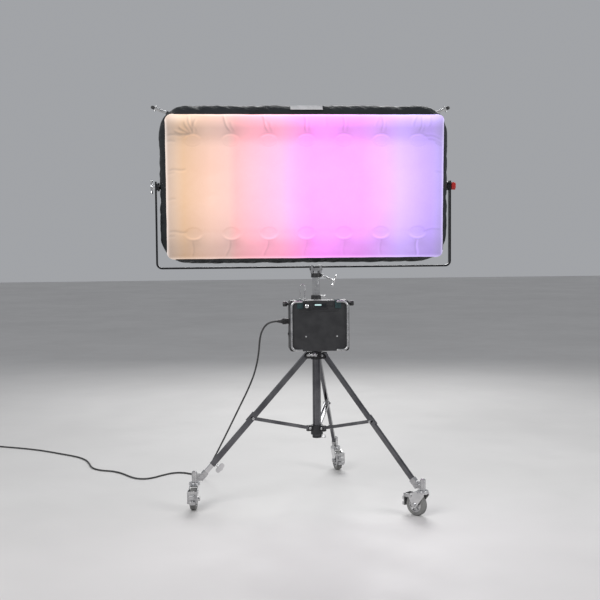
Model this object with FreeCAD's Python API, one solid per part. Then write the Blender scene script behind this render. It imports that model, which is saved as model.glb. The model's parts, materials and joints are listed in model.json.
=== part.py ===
"""Inflatable film light on a rolling stand, in millimetres.

Z is up and the origin is on the floor, on the mast's axis.  The lit face looks
along -Y.  The stand's three legs hang from a sliding collar, and three braces
tie them to a fixed hub, so the collar folds them.  The head is an air-filled
softbox in front of a mat of LEDs, hung on a yoke.  A control box is clamped to
the mast, and its mains lead lies on the floor.
"""
import FreeCAD, Part
import math
import os

V = FreeCAD.Vector
X, Y, Z = V(1, 0, 0), V(0, 1, 0), V(0, 0, 1)
ORIGIN = V(0, 0, 0)

# ---------------------------------------------------------------- dimensions
RUN = 0.06                      # radial clearance of a running fit
GAP = 0.3                       # clearance between faces that slide past

# head, measured from its tilt axis before it is tilted
HEAD_X = -51.5                  # the head's middle stands left of the mast
TILT_Z = 1485.0
TILT_REST = 3.1                 # degrees, top towards the lit side
FACE_W, FACE_H, FACE_R = 1299.0, 668.0, 36.0
FACE_Y, SEAM_Y, BACK_Y = -116.0, -84.0, 74.0
CLOTH = 2.0
WALL_CLOTH = 3.0
WALL_HALF_W, WALL_TOP, WALL_LOW = 681.5, 378.0, 361.0   # the swollen black wall's reach
WALL_R, WALL_ROUND = 125.0, 28.0
TUFT_COLUMNS, TUFT_ROWS = 7, 4
TUFT_PITCH_X, TUFT_PITCH_Z = 174.5, 141.5
TUFT_R = 36.0
MAT_W, MAT_H, MAT_T = 1220.0, 600.0, 3.0
MAT_Y = BACK_Y - MAT_T
STRIPS, STRIP_H, STRIP_T = 14, 10.0, 1.2
CROSSBAR, CROSSBAR_Y = 25.0, 84.0
PLATE_X, PLATE_T = 684.0, 6.0
HUB_W, HUB_H, HUB_T = 230.0, 300.0, 8.0
ARM_R = 7.0
ARM_ROOT = (90.0, 125.0)
TOP_TIP = (712.0, 376.0)
LOW_TIP = (612.0, 318.0)

# yoke
YOKE_X, YOKE_T, YOKE_W = 694.0, 8.0, 30.0
YOKE_TOP, YOKE_DROP = 25.0, 377.0
STUD_R = 6.0
ACCESSORY_R, ACCESSORY_X = 5.25, 240.0

# mast
COLUMN_R, COLUMN_BORE = 20.0, 18.1
COLUMN_FOOT, COLUMN_TOP = 296.0, 955.0
RISER_R, RISER_BORE, RISER_FOOT, RISER_TOP = 17.5, 16.0, 420.0, 1054.0
SPIGOT_R = 14.0
RECEIVER_R, RECEIVER_TOP = 23.0, 1074.0
HEAD_CASTING_R, HEAD_CASTING_Z, HEAD_CASTING_TOP = 24.0, 935.0, 968.0

# legs, drawn in the plane of azimuth 0 and turned about the mast
LEG_AZIMUTHS = {"right": -45.0, "rear": 75.0, "left": 195.0}
LEG_ANGLE = 43.8                # degrees from the vertical
COLLAR_PIVOT = (50.0, 685.0)    # radius, height
HUB_PIVOT = (40.0, 333.0)
BRACE_AT = 397.4                # along the leg from its pivot
PIN_R = 4.0
LEG_DEEP, LEG_WIDE, LEG_WALL = 20.0, 16.0, 1.6
SLEEVE_DEEP = 24.0
LEG_END = 760.0
SLEEVE_END = 683.0
STEM_RADIUS = 607.0
SOCKET_R, SOCKET_Z, SOCKET_TOP = 12.5, 119.0, 172.0

# casters, drawn with the stem on the Z axis and the wheel trailing along +X
WHEEL_R, WHEEL_RIM_R, WHEEL_W = 50.0, 34.0, 28.0
TRAIL = 35.0
AXLE_R = 6.0
STEM_R = 8.0
TRAIL_AZIMUTHS = {"right": 129.0, "rear": -80.0, "left": -96.0}

# control box
BOX_X, BOX_W, BOX_Z0, BOX_Z1 = -5.0, 274.0, 724.0, 956.0
BOX_SIDE = BOX_X - BOX_W / 2
BOX_BACK, BOX_SEAM, BOX_FACE = -112.0, -200.0, -206.0
BOX_R, BOX_WALL = 12.0, 2.5
CLAMP_Z0, CLAMP_Z1 = 895.0, 925.0
INLET_Y, INLET_Z = -150.0, 859.0
SWITCH_Z = 800.0
DIAL_X, DIAL_Z, DIAL_R = -64.0, 932.0, 11.0

# mains lead
INLET_LENGTH, CONNECTOR_LENGTH, NECK_LENGTH, RELIEF_LENGTH = 12.0, 18.0, 4.0, 22.0
CONNECTOR_X = BOX_SIDE - INLET_LENGTH
LEAD_EXIT_X = CONNECTOR_X - CONNECTOR_LENGTH - NECK_LENGTH - RELIEF_LENGTH
LEAD_R = 4.25
LEAD_LENGTH = 4500.0
COIL_OUT, COIL_IN, COIL_HIGH = 60.0, 34.5, 17.0
COIL_TURNS = 5.3
ON_FLOOR = LEAD_R + 0.05
LEAD_ROUTE = [
    V(LEAD_EXIT_X, INLET_Y, INLET_Z), V(-225, -149, 857), V(-250, -141, 841), V(-268, -125, 810),
    V(-276, -98, 765), V(-278, -62, 711), V(-286, -16, 646), V(-301, 36, 580),
    V(-325, 91, 511), V(-356, 146, 437), V(-389, 198, 360), V(-422, 248, 283),
    V(-455, 297, 208), V(-488, 347, 134), V(-521, 398, 64), V(-556, 447, 15),
    V(-601, 497, ON_FLOOR), V(-655, 547, ON_FLOOR), V(-712, 551, ON_FLOOR), V(-768, 498, ON_FLOOR),
    V(-823, 433, ON_FLOOR), V(-880, 425, ON_FLOOR), V(-929, 476, ON_FLOOR), V(-975, 560, ON_FLOOR),
    V(-1033, 626, ON_FLOOR), V(-1104, 650, ON_FLOOR), V(-1158, 720, ON_FLOOR),
    V(-1180, 820, ON_FLOOR), V(-1212, 930, ON_FLOOR), V(-1276, 1024, ON_FLOOR),
    V(-1369, 1104, ON_FLOOR), V(-1465, 1190, ON_FLOOR), V(-1560, 1260, ON_FLOOR),
    V(-1660, 1315, ON_FLOOR), V(-1752, 1360, ON_FLOOR), V(-1832, 1404, ON_FLOOR),
]

NODES = {}


# ------------------------------------------------------------------- helpers
def cylinder(start, end, radius):
    """A solid rod from one point to another."""
    line = end - start
    return Part.makeCylinder(radius, line.Length, start, line)


def tube(start, end, outer, inner):
    return cylinder(start, end, outer).cut(cylinder(start, end, inner))


def block(x0, x1, y0, y1, z0, z1):
    return Part.makeBox(x1 - x0, y1 - y0, z1 - z0, V(x0, y0, z0))


def fuse(*shapes):
    whole = shapes[0]
    for shape in shapes[1:]:
        whole = whole.fuse(shape)
    return whole.removeSplitter()


def turned(shape, degrees, centre=ORIGIN, axis=Z):
    copy = shape.copy()
    copy.rotate(centre, axis, degrees)
    return copy


def moved(shape, vector):
    copy = shape.copy()
    copy.translate(vector)
    return copy


def slab(width, height, radius, y0, y1):
    """A plate in the XZ plane with rounded corners, from y0 to y1."""
    plate = block(-width / 2, width / 2, y0, y1, -height / 2, height / 2)
    corners = [e for e in plate.Edges if abs(e.tangentAt(e.FirstParameter).y) > 0.99]
    return plate.makeFillet(radius, corners)


def on_head(shape):
    """Tilt a piece of the head about its axis and lift it into place."""
    return moved(turned(shape, TILT_REST, ORIGIN, X), V(HEAD_X, 0, TILT_Z))


def on_yoke(shape):
    return moved(shape, V(HEAD_X, 0, TILT_Z))


def polar(azimuth, radius, height):
    angle = math.radians(azimuth)
    return V(radius * math.cos(angle), radius * math.sin(angle), height)


def t_handle(seat, direction, bar_along, reach, half_bar, depth):
    """A clamp screw with a T grip: seat is where it enters, depth how far in."""
    out = V(direction).normalize()
    tip = seat + out * reach
    along = V(bar_along).normalize()
    knobs = [cylinder(tip + along * (side * (half_bar - 6)), tip + along * (side * (half_bar + 6)), 6.2)
             for side in (-1, 1)]
    return fuse(
        cylinder(seat - out * depth, seat + out * (GAP + 1), PIN_R),
        cylinder(seat + out * GAP, seat + out * (GAP + 6), 8.5),
        cylinder(seat + out * GAP, tip, 4.4),
        cylinder(tip - along * half_bar, tip + along * half_bar, 5.0),
        *knobs,
    )


def screw_hole(seat, direction, depth):
    out = V(direction).normalize()
    return cylinder(seat - out * depth, seat + out * 12, PIN_R + RUN)


def sloped_bar(origin, angle, start, end, deep, wide):
    """A rectangular bar in the XZ plane that leaves origin at an angle from straight down."""
    bar = block(-deep / 2, deep / 2, -wide / 2, wide / 2, -end, -start)
    return moved(turned(bar, -angle, ORIGIN, Y), origin)


# ---------------------------------------------------------------------- head
def front_diffuser():
    """White cloth tray: the lit face and its rounded rim."""
    outer = slab(FACE_W, FACE_H, FACE_R, FACE_Y, SEAM_Y)
    outer = outer.makeFillet(22, [e for e in outer.Edges if e.BoundBox.YMax < FACE_Y + 0.1])
    inner = slab(FACE_W - 2 * CLOTH, FACE_H - 2 * CLOTH, FACE_R - CLOTH, FACE_Y + CLOTH, SEAM_Y + 1)
    inner = inner.makeFillet(20, [e for e in inner.Edges if e.BoundBox.YMax < FACE_Y + CLOTH + 0.1])
    return outer.cut(inner)


def tuft_places():
    for row in range(TUFT_ROWS):
        for column in range(TUFT_COLUMNS):
            x = (column - (TUFT_COLUMNS - 1) / 2) * TUFT_PITCH_X
            z = (row - (TUFT_ROWS - 1) / 2) * TUFT_PITCH_Z
            yield x, z


def tuft_ties():
    """Welded discs behind the face, each with a strap to the back."""
    ties = []
    front = FACE_Y + CLOTH
    for x, z in tuft_places():
        disc = cylinder(V(x, front, z), V(x, front + 2, z), TUFT_R)
        strap = block(x - 12, x + 12, front + 1, MAT_Y, z - 0.8, z + 0.8)
        ties.append(fuse(disc, strap))
    return Part.makeCompound(ties)


def swollen_wall(inset):
    """The outline of the black wall, drawn in by the inset on every side."""
    width = 2 * (WALL_HALF_W - inset)
    height = WALL_TOP + WALL_LOW - 2 * inset
    wall = slab(width, height, WALL_R - inset, SEAM_Y + inset, BACK_Y - inset)
    wall = wall.makeFillet(WALL_ROUND - inset, [e for e in wall.Edges if e.BoundBox.YLength < 0.1])
    return moved(wall, Z * ((WALL_TOP - WALL_LOW) / 2))


def side_bladder():
    """Black wall that swells between the face and the back, with a flange at each end."""
    mouth = slab(FACE_W - 60, FACE_H - 60, 20, SEAM_Y - 1, BACK_Y + 1)
    return swollen_wall(0).cut(swollen_wall(WALL_CLOTH)).cut(mouth)


def led_mat():
    return slab(MAT_W, MAT_H, 12, MAT_Y, MAT_Y + MAT_T)


def led_strips():
    strips = []
    pitch = (MAT_H - 40) / (STRIPS - 1)
    for i in range(STRIPS):
        z = (i - (STRIPS - 1) / 2) * pitch
        strips.append(block(-MAT_W / 2 + 15, MAT_W / 2 - 15, MAT_Y - STRIP_T, MAT_Y,
                            z - STRIP_H / 2, z + STRIP_H / 2))
    return Part.makeCompound(strips)


def rear_cover():
    cover = slab(FACE_W - 30, FACE_H - 30, 30, BACK_Y, BACK_Y + 4)
    pad = slab(320, 380, 20, BACK_Y + 4, CROSSBAR_Y)
    return fuse(cover, pad)


def pivot_crossbar():
    y0, y1, half = CROSSBAR_Y, CROSSBAR_Y + CROSSBAR, CROSSBAR / 2
    bar = block(-PLATE_X, PLATE_X, y0, y1, -half, half)
    bore = block(-PLATE_X - 1, PLATE_X + 1, y0 + 2, y1 - 2, -half + 2, half - 2)
    return bar.cut(bore)


def pivot_plates():
    """One plate at each end of the crossbar, which carries the tilt axis."""
    plates = []
    for side in (-1, 1):
        near, far = side * PLATE_X, side * (PLATE_X + PLATE_T)
        x0, x1 = min(near, far), max(near, far)
        plate = fuse(
            block(x0, x1, 0, CROSSBAR_Y + CROSSBAR, -20, 20),
            cylinder(V(x0, 0, 0), V(x1, 0, 0), 20),
            cylinder(V(far, 0, 0), V(side * (YOKE_X - GAP), 0, 0), 15),
        )
        plates.append(plate.cut(cylinder(V(-800, 0, 0), V(800, 0, 0), STUD_R + RUN)))
    return Part.makeCompound(plates)


def frame_hub():
    y0 = CROSSBAR_Y + CROSSBAR
    return slab(HUB_W, HUB_H, 24, y0, y0 + HUB_T)


def frame_arms():
    """Four rods fanned out from the hub; the upper pair ends beyond the corners."""
    y = CROSSBAR_Y + CROSSBAR + HUB_T + ARM_R
    rods = []
    for side in (-1, 1):
        for up, tip in ((1, TOP_TIP), (-1, LOW_TIP)):
            root = V(side * ARM_ROOT[0], y, up * ARM_ROOT[1])
            end = V(side * tip[0], y, up * tip[1])
            along = V(end - root).normalize()
            across = V(-along.z, 0, along.x)
            foot = end - along * 14
            rods.append(fuse(
                cylinder(root - along * 40, end, ARM_R),
                Part.makeSphere(ARM_R, end),
                cylinder(foot - across * 15, foot + across * 15, 4),
            ))
    return Part.makeCompound(rods)


def air_valve():
    at = V(430, BACK_Y + 4, -210)
    return fuse(cylinder(at, at + V(0, 5, 0), 24), cylinder(at, at + V(0, 16, 0), 15))


# ---------------------------------------------------------------------- yoke
def yoke_bar():
    """One flat bar bent into a U, with a hole for each tilt stud."""
    outer = slab(2 * (YOKE_X + YOKE_T), 2 * (YOKE_DROP + YOKE_T), 28, -YOKE_W / 2, YOKE_W / 2)
    inner = slab(2 * YOKE_X, 2 * YOKE_DROP, 20, -YOKE_W, YOKE_W)
    bar = outer.cut(inner).cut(block(-800, 800, -50, 50, YOKE_TOP, 500))
    bar = bar.cut(cylinder(V(-800, 0, 0), V(800, 0, 0), STUD_R + RUN))
    low = V(ACCESSORY_X - HEAD_X, 0, -YOKE_DROP - 20)
    return bar.cut(cylinder(low, low + V(0, 0, 40), ACCESSORY_R))


def yoke_bracket():
    """H-shaped casting that grips the yoke's bar above the mast."""
    bar_z = TILT_Z - YOKE_DROP - YOKE_T
    cheeks = [block(x, x + 10, -21, 21, RECEIVER_TOP + 1, bar_z + YOKE_T + 4) for x in (-25.5, 15.5)]
    web = block(-16, 16, -18, 18, bar_z - 14, bar_z)
    grip = fuse(cheeks[0], cheeks[1], web)
    slot = block(-60, 60, -YOKE_W / 2, YOKE_W / 2, bar_z, bar_z + YOKE_T)
    return grip.cut(slot)


def yoke_spigot():
    web_z = TILT_Z - YOKE_DROP - YOKE_T - 14
    return fuse(
        cylinder(V(0, 0, RECEIVER_TOP + GAP), V(0, 0, web_z), 15.0),
        cylinder(V(0, 0, 992), V(0, 0, RECEIVER_TOP + 1), SPIGOT_R),
    )


def tilt_handle():
    """Left-hand lock: a stud, a ring and a T grip."""
    inner, face = PLATE_X, YOKE_X + YOKE_T + GAP
    stem = cylinder(V(-inner, 0, 0), V(-face - 3, 0, 0), STUD_R)
    ring = cylinder(V(-face, 0, 0), V(-face - 4, 0, 0), 16)
    boss = cylinder(V(-face, 0, 0), V(-face - 14, 0, 0), 9)
    bar_x = -face - 14
    grip = cylinder(V(bar_x, 0, -34), V(bar_x, 0, 34), 5)
    knobs = [cylinder(V(bar_x, 0, z), V(bar_x, 0, z + 13), 6.5) for z in (-34.5, 21.5)]
    return fuse(stem, ring, boss, grip, *knobs)


def tilt_knob():
    """Right-hand lock: a stud and a scalloped knob."""
    inner, face = PLATE_X, YOKE_X + YOKE_T + GAP
    stem = cylinder(V(inner, 0, 0), V(face + 3, 0, 0), STUD_R)
    washer = cylinder(V(face, 0, 0), V(face + 4, 0, 0), 11)
    knob = cylinder(V(face + 4, 0, 0), V(face + 22, 0, 0), 18)
    for i in range(6):
        angle = math.radians(60 * i)
        groove = V(face, 22 * math.cos(angle), 22 * math.sin(angle))
        knob = knob.cut(cylinder(groove, groove + V(40, 0, 0), 7))
    return fuse(stem, washer, knob)


# ---------------------------------------------------------------------- mast
def outer_column():
    return tube(V(0, 0, COLUMN_FOOT), V(0, 0, COLUMN_TOP), COLUMN_R, COLUMN_BORE)


HEAD_SCREW = polar(60, HEAD_CASTING_R, 961)
RECEIVER_OUT = V(0.913, -0.161, -0.375)
RECEIVER_SCREW = V(20.6, -3.6, 1065.5)
COLLAR_SCREW = polar(-112, 27.0, 688)
CLAMP_SCREW = V(0, 30, 910)


def column_head():
    """Casting on top of the column, which guides and clamps the riser."""
    ring = cylinder(V(0, 0, HEAD_CASTING_Z), V(0, 0, HEAD_CASTING_TOP), HEAD_CASTING_R)
    seat = cylinder(V(0, 0, HEAD_CASTING_Z - 1), V(0, 0, COLUMN_TOP), COLUMN_R)
    bore = cylinder(V(0, 0, COLUMN_TOP - 1), V(0, 0, HEAD_CASTING_TOP + 1), RISER_R + RUN)
    out = polar(60, 1, 0)
    boss = cylinder(HEAD_SCREW - out * 3, HEAD_SCREW + out * 6, 5.8)
    return fuse(ring, boss).cut(seat).cut(bore).cut(screw_hole(HEAD_SCREW, out, 8))


def column_handle():
    out = polar(60, 1, 0)
    return t_handle(HEAD_SCREW + out * 6, out, V(0.866, -0.5, 0), 30, 20, 11.5)


def pin(radius, height, half, head_from):
    """A hinge pin across the leg plane, with a head on each end."""
    at = V(radius, 0, height)
    return fuse(
        cylinder(at - Y * half, at + Y * half, PIN_R),
        cylinder(at + Y * head_from, at + Y * (head_from + 4), 7),
        cylinder(at - Y * head_from, at - Y * (head_from + 4), 7),
    )


def lower_hub():
    """Fixed hub at the column's foot with its three brace pins and a foot cap."""
    bore = cylinder(V(0, 0, 280), V(0, 0, 400), COLUMN_R)
    ring = cylinder(V(0, 0, 300), V(0, 0, 345), 29)
    cap = cylinder(V(0, 0, 284), V(0, 0, COLUMN_FOOT), 22)
    radius, height = HUB_PIVOT
    hub = ring
    pins = []
    for azimuth in LEG_AZIMUTHS.values():
        lug = block(22, radius + 11, -8.5, 8.5, height - 15, height + 12)
        lug = lug.cut(cylinder(V(radius, -30, height), V(radius, 30, height), PIN_R))
        hub = hub.fuse(turned(lug, azimuth))
        pins.append(turned(pin(radius, height, 12.5, 12.1), azimuth))
    return Part.makeCompound([hub.cut(bore).removeSplitter(), cap] + pins)


def riser_tube():
    return tube(V(0, 0, RISER_FOOT), V(0, 0, RISER_TOP), RISER_R, RISER_BORE)


def top_receiver():
    """Socket for the yoke's spigot, pressed into the riser."""
    rim = cylinder(V(0, 0, RISER_TOP), V(0, 0, RECEIVER_TOP), RECEIVER_R)
    plug = cylinder(V(0, 0, RISER_TOP - 44), V(0, 0, RISER_TOP), RISER_BORE)
    bore = cylinder(V(0, 0, RISER_TOP - 60), V(0, 0, RECEIVER_TOP + 1), SPIGOT_R + RUN)
    boss = cylinder(RECEIVER_SCREW - RECEIVER_OUT * 3, RECEIVER_SCREW + RECEIVER_OUT * 8, 6.5)
    rim = fuse(rim, boss)
    return fuse(rim, plug).cut(bore).cut(screw_hole(RECEIVER_SCREW, RECEIVER_OUT, 5))


def receiver_handle():
    along = V(0.37, -0.06, 0.927)
    seat = RECEIVER_SCREW + RECEIVER_OUT * 8
    return t_handle(seat, RECEIVER_OUT, along, 63, 24, 12)


# ----------------------------------------------------------- legs and braces
def leg_collar():
    """Sliding collar with a pair of ears and a pin for each leg."""
    radius, height = COLLAR_PIVOT
    collar = cylinder(V(0, 0, 663), V(0, 0, 700), 27)
    pins = []
    for azimuth in LEG_AZIMUTHS.values():
        for side in (-1, 1):
            y0, y1 = sorted((side * 8.5, side * 13.5))
            ear = block(16, radius + 4, y0, y1, height - 17, height + 15)
            ear = fuse(ear, cylinder(V(radius, y0, height - 5), V(radius, y1, height - 5), 12))
            ear = ear.cut(cylinder(V(radius, y0 - 1, height), V(radius, y1 + 1, height), PIN_R))
            collar = collar.fuse(turned(ear, azimuth))
        pins.append(turned(pin(radius, height, 13.6, 13.5), azimuth))
    collar = collar.cut(cylinder(V(0, 0, 600), V(0, 0, 750), COLUMN_R + RUN))
    out = polar(-112, 1, 0)
    collar = collar.cut(screw_hole(COLLAR_SCREW, out, 8))
    return Part.makeCompound([collar.removeSplitter()] + pins)


def collar_handle():
    out = polar(-112, 1, 0)
    return t_handle(COLLAR_SCREW, out, V(-out.y, out.x, 0), 36, 17, 5)


def leg_tube(deep, end, wall):
    """A leg drawn in its plane, from just above its pivot."""
    pivot = V(COLLAR_PIVOT[0], 0, COLLAR_PIVOT[1])
    leg = sloped_bar(pivot, LEG_ANGLE, -8, end, deep, LEG_WIDE)
    room = sloped_bar(pivot, LEG_ANGLE, 24, end + 1, deep - 2 * wall, LEG_WIDE - 2 * wall)
    hole = cylinder(pivot - Y * 20, pivot + Y * 20, PIN_R + RUN)
    return leg.cut(room).cut(hole)


def brace_saddle(deep):
    """Cast lug on top of the leg where the brace straddles it."""
    pivot = V(COLLAR_PIVOT[0], 0, COLLAR_PIVOT[1])
    pad = sloped_bar(V(0, 0, 0), 0, BRACE_AT - 26, BRACE_AT + 26, 5, LEG_WIDE)
    pad.translate(V(deep / 2 + 2.5, 0, 0))
    return moved(turned(pad, -LEG_ANGLE, ORIGIN, Y), pivot)


def leg(name):
    whole = fuse(leg_tube(LEG_DEEP, LEG_END, LEG_WALL), brace_saddle(LEG_DEEP))
    return turned(whole, LEG_AZIMUTHS[name])


INNER_DEEP, INNER_WIDE = LEG_DEEP, LEG_WIDE - 4.0


def along_leg(distance, below=0.0):
    """A point on a leg's axis, or that far under it, in the leg's plane."""
    angle = math.radians(LEG_ANGLE)
    return V(COLLAR_PIVOT[0] + distance * math.sin(angle) - below * math.cos(angle), 0,
             COLLAR_PIVOT[1] - distance * math.cos(angle) - below * math.sin(angle))


def levelling_leg():
    """Inner length of the left leg, which slides out to level the stand."""
    pivot = V(COLLAR_PIVOT[0], 0, COLLAR_PIVOT[1])
    inner = sloped_bar(pivot, LEG_ANGLE, 400, LEG_END, INNER_DEEP, INNER_WIDE)
    room = sloped_bar(pivot, LEG_ANGLE, 399, LEG_END + 1, INNER_DEEP - 3, INNER_WIDE - 3)
    return turned(inner.cut(room), LEG_AZIMUTHS["left"])


LEVEL_AT = SLEEVE_END - 14


def levelling_handle():
    """Wing screw under the left leg's sleeve."""
    azimuth = LEG_AZIMUTHS["left"]
    seat = along_leg(LEVEL_AT, SLEEVE_DEEP / 2)
    out = V(along_leg(0, 1) - along_leg(0)).normalize()
    side = V(along_leg(1) - along_leg(0)).normalize()
    stem = fuse(cylinder(seat - out * 1.5, seat + out * 2, PIN_R),
                cylinder(seat + out * GAP, seat + out * 18, 6))
    middle = seat + out * 28
    wing = Part.makeCylinder(14, 6, middle - Y * 3, Y)
    ends = [Part.makeCylinder(11, 6, middle + side * s - Y * 3, Y) for s in (-14, 14)]
    return turned(fuse(stem, wing, *ends), azimuth)


def leg_left():
    """Outer sleeve of the left leg, with the levelling screw's hole."""
    wall = (SLEEVE_DEEP - INNER_DEEP) / 2 - GAP
    whole = fuse(leg_tube(SLEEVE_DEEP, SLEEVE_END, wall), brace_saddle(SLEEVE_DEEP))
    seat = along_leg(LEVEL_AT, SLEEVE_DEEP / 2)
    out = V(along_leg(0, 1) - along_leg(0)).normalize()
    hole = cylinder(seat - out * 6, seat + out * 6, PIN_R + RUN)
    return turned(whole.cut(hole), LEG_AZIMUTHS["left"])


def caster_socket(name):
    """Casting that joins the leg's end to the caster's stem."""
    pivot = V(COLLAR_PIVOT[0], 0, COLLAR_PIVOT[1])
    deep, wide = (INNER_DEEP, INNER_WIDE) if name == "left" else (LEG_DEEP, LEG_WIDE)
    ferrule = sloped_bar(pivot, LEG_ANGLE, LEG_END - 36, LEG_END + 8, deep + 6, wide + 6)
    inside = sloped_bar(pivot, LEG_ANGLE, LEG_END - 40, LEG_END, deep, wide)
    stem = V(STEM_RADIUS, 0, 0)
    sleeve = cylinder(stem + Z * SOCKET_Z, stem + Z * (SOCKET_TOP - 5), SOCKET_R)
    dome = Part.makeCone(SOCKET_R - 1, 5, 5, stem + Z * (SOCKET_TOP - 5), Z)
    web = block(572, STEM_RADIUS - 8, -5, 5, 124, 158)
    bore = cylinder(stem + Z * (SOCKET_Z - 1), stem + Z * 160, STEM_R + RUN)
    return turned(fuse(ferrule, sleeve, dome, web).cut(inside).cut(bore), LEG_AZIMUTHS[name])


def brace(name):
    """Pressed channel from the hub to the leg; the leg passes between its sides."""
    angle = math.radians(LEG_ANGLE)
    joint = V(COLLAR_PIVOT[0] + BRACE_AT * math.sin(angle), 0,
              COLLAR_PIVOT[1] - BRACE_AT * math.cos(angle))
    inner = V(HUB_PIVOT[0], 0, HUB_PIVOT[1])
    line = joint - inner
    rise = math.degrees(math.atan2(line.z, line.x))
    length = line.Length
    near, far = 8.8, 11.8
    parts = []
    for side in (-1, 1):
        y0, y1 = sorted((side * near, side * far))
        flat = fuse(block(0, length, y0, y1, -7, 7), cylinder(V(0, y0, 0), V(0, y1, 0), 7),
                    cylinder(V(length, y0, 0), V(length, y1, 0), 9))
        flat = flat.cut(cylinder(V(0, y0 - 1, 0), V(0, y1 + 1, 0), PIN_R + RUN))
        face = side * far
        parts += [flat, cylinder(V(length, face, 0), V(length, face + side * 5, 0), 7)]
    parts.append(block(24, length - 34, -far, far, -7, -4))
    channel = fuse(*parts)
    channel = moved(turned(channel, -rise, ORIGIN, Y), inner)
    return turned(channel, LEG_AZIMUTHS[name])


# ------------------------------------------------------------------- casters
def place_caster(shape, name):
    """Turn a caster piece to its trail direction and set it on its stem."""
    return moved(turned(shape, TRAIL_AZIMUTHS[name]), polar(LEG_AZIMUTHS[name], STEM_RADIUS, 0))


def fork():
    """Crown, stem, two cheeks and the axle with its nuts."""
    crown = fuse(cylinder(V(0, 0, 104), V(0, 0, SOCKET_Z - GAP), 24),
                 cylinder(V(0, 0, 110), V(0, 0, 158), STEM_R))
    cheeks = []
    for side in (-1, 1):
        y0, y1 = sorted((side * 17, side * 20))
        outline = [V(-20, y0, 110), V(-20, y0, 96), V(TRAIL - 12, y0, 42), V(TRAIL + 12, y0, 42),
                   V(66, y0, 82), V(66, y0, 96), V(30, y0, 110), V(-20, y0, 110)]
        plate = Part.Face(Part.makePolygon(outline)).extrude(V(0, y1 - y0, 0))
        plate = fuse(plate, cylinder(V(TRAIL, y0, WHEEL_R), V(TRAIL, y1, WHEEL_R), 14))
        cheeks.append(plate.cut(cylinder(V(58, y0 - 1, 88), V(58, y1 + 1, 88), 3 + RUN)))
    bridge = block(-20, 34, -20, 20, 104, 110)
    body = fuse(crown, bridge, *cheeks)
    body = body.cut(cylinder(V(TRAIL, -30, WHEEL_R), V(TRAIL, 30, WHEEL_R), AXLE_R))
    hub = V(TRAIL, 0, WHEEL_R)
    axle = fuse(cylinder(hub - Y * 21, hub + Y * 21, AXLE_R),
                cylinder(hub + Y * 20, hub + Y * 24, 9), cylinder(hub - Y * 20, hub - Y * 24, 9))
    return Part.makeCompound([body, axle])


def wheel():
    """Rim with its hub, dished on both sides."""
    hub = V(TRAIL, 0, WHEEL_R)
    rim = cylinder(hub - Y * 13, hub + Y * 13, WHEEL_RIM_R)
    for side in (-1, 1):
        dish = cylinder(hub + Y * (side * 8), hub + Y * (side * 14), WHEEL_RIM_R - 5)
        dish = dish.cut(cylinder(hub + Y * (side * 7), hub + Y * (side * 15), 13))
        rim = rim.cut(dish)
    rim = fuse(rim, cylinder(hub - Y * 15.5, hub + Y * 15.5, 10))
    return rim.cut(cylinder(hub - Y * 20, hub + Y * 20, AXLE_R + RUN))


def tyre():
    hub = V(TRAIL, 0, WHEEL_R)
    ring = cylinder(hub - Y * WHEEL_W / 2, hub + Y * WHEEL_W / 2, WHEEL_R)
    ring = ring.makeFillet(5, [e for e in ring.Edges if e.Length > 300])
    return ring.cut(cylinder(hub - Y * 20, hub + Y * 20, WHEEL_RIM_R))


def pedal():
    """Brake lever hinged behind the wheel, with its two foot tabs."""
    parts = []
    for side in (-1, 1):
        y0, y1 = sorted((side * (20 + GAP), side * 23.3))
        arm = fuse(block(54, 93, y0, y1, 80, 96), cylinder(V(58, y0, 88), V(58, y1, 88), 8))
        stub = cylinder(V(58, side * 16.4, 88), V(58, side * 22, 88), 3)
        parts += [arm, stub]
    parts.append(block(89, 93, -23.3, 23.3, 40, 96))
    for low in (64, 38):
        parts.append(block(91, 108, -13, 13, low, low + 14))
    return fuse(*parts)


# --------------------------------------------------------------- control box
def box_slab(inset, y0, y1):
    plate = slab(BOX_W - 2 * inset, BOX_Z1 - BOX_Z0 - 2 * inset, BOX_R - inset, y0, y1)
    return moved(plate, V(BOX_X, 0, (BOX_Z0 + BOX_Z1) / 2))


def box_case():
    """Back and sides of the control box, open at the front."""
    shell = box_slab(0, BOX_SEAM, BOX_BACK).cut(box_slab(BOX_WALL, BOX_SEAM - 1, BOX_BACK - BOX_WALL))
    slot = block(BOX_SIDE - 1, BOX_SIDE + 4, INLET_Y - 6.5, INLET_Y + 6.5, SWITCH_Z - 13, SWITCH_Z + 13)
    return shell.cut(slot)


def box_front():
    """Front cover with a shallow tray for the controls."""
    plate = box_slab(0, BOX_FACE, BOX_SEAM)
    tray = block(BOX_X - 92, BOX_X + 92, BOX_FACE - 1, BOX_FACE + 2, 912, 946)
    return plate.cut(tray).cut(cylinder(V(DIAL_X, BOX_FACE - 5, DIAL_Z), V(DIAL_X, BOX_SEAM + 5, DIAL_Z),
                                        3 + RUN))


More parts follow.
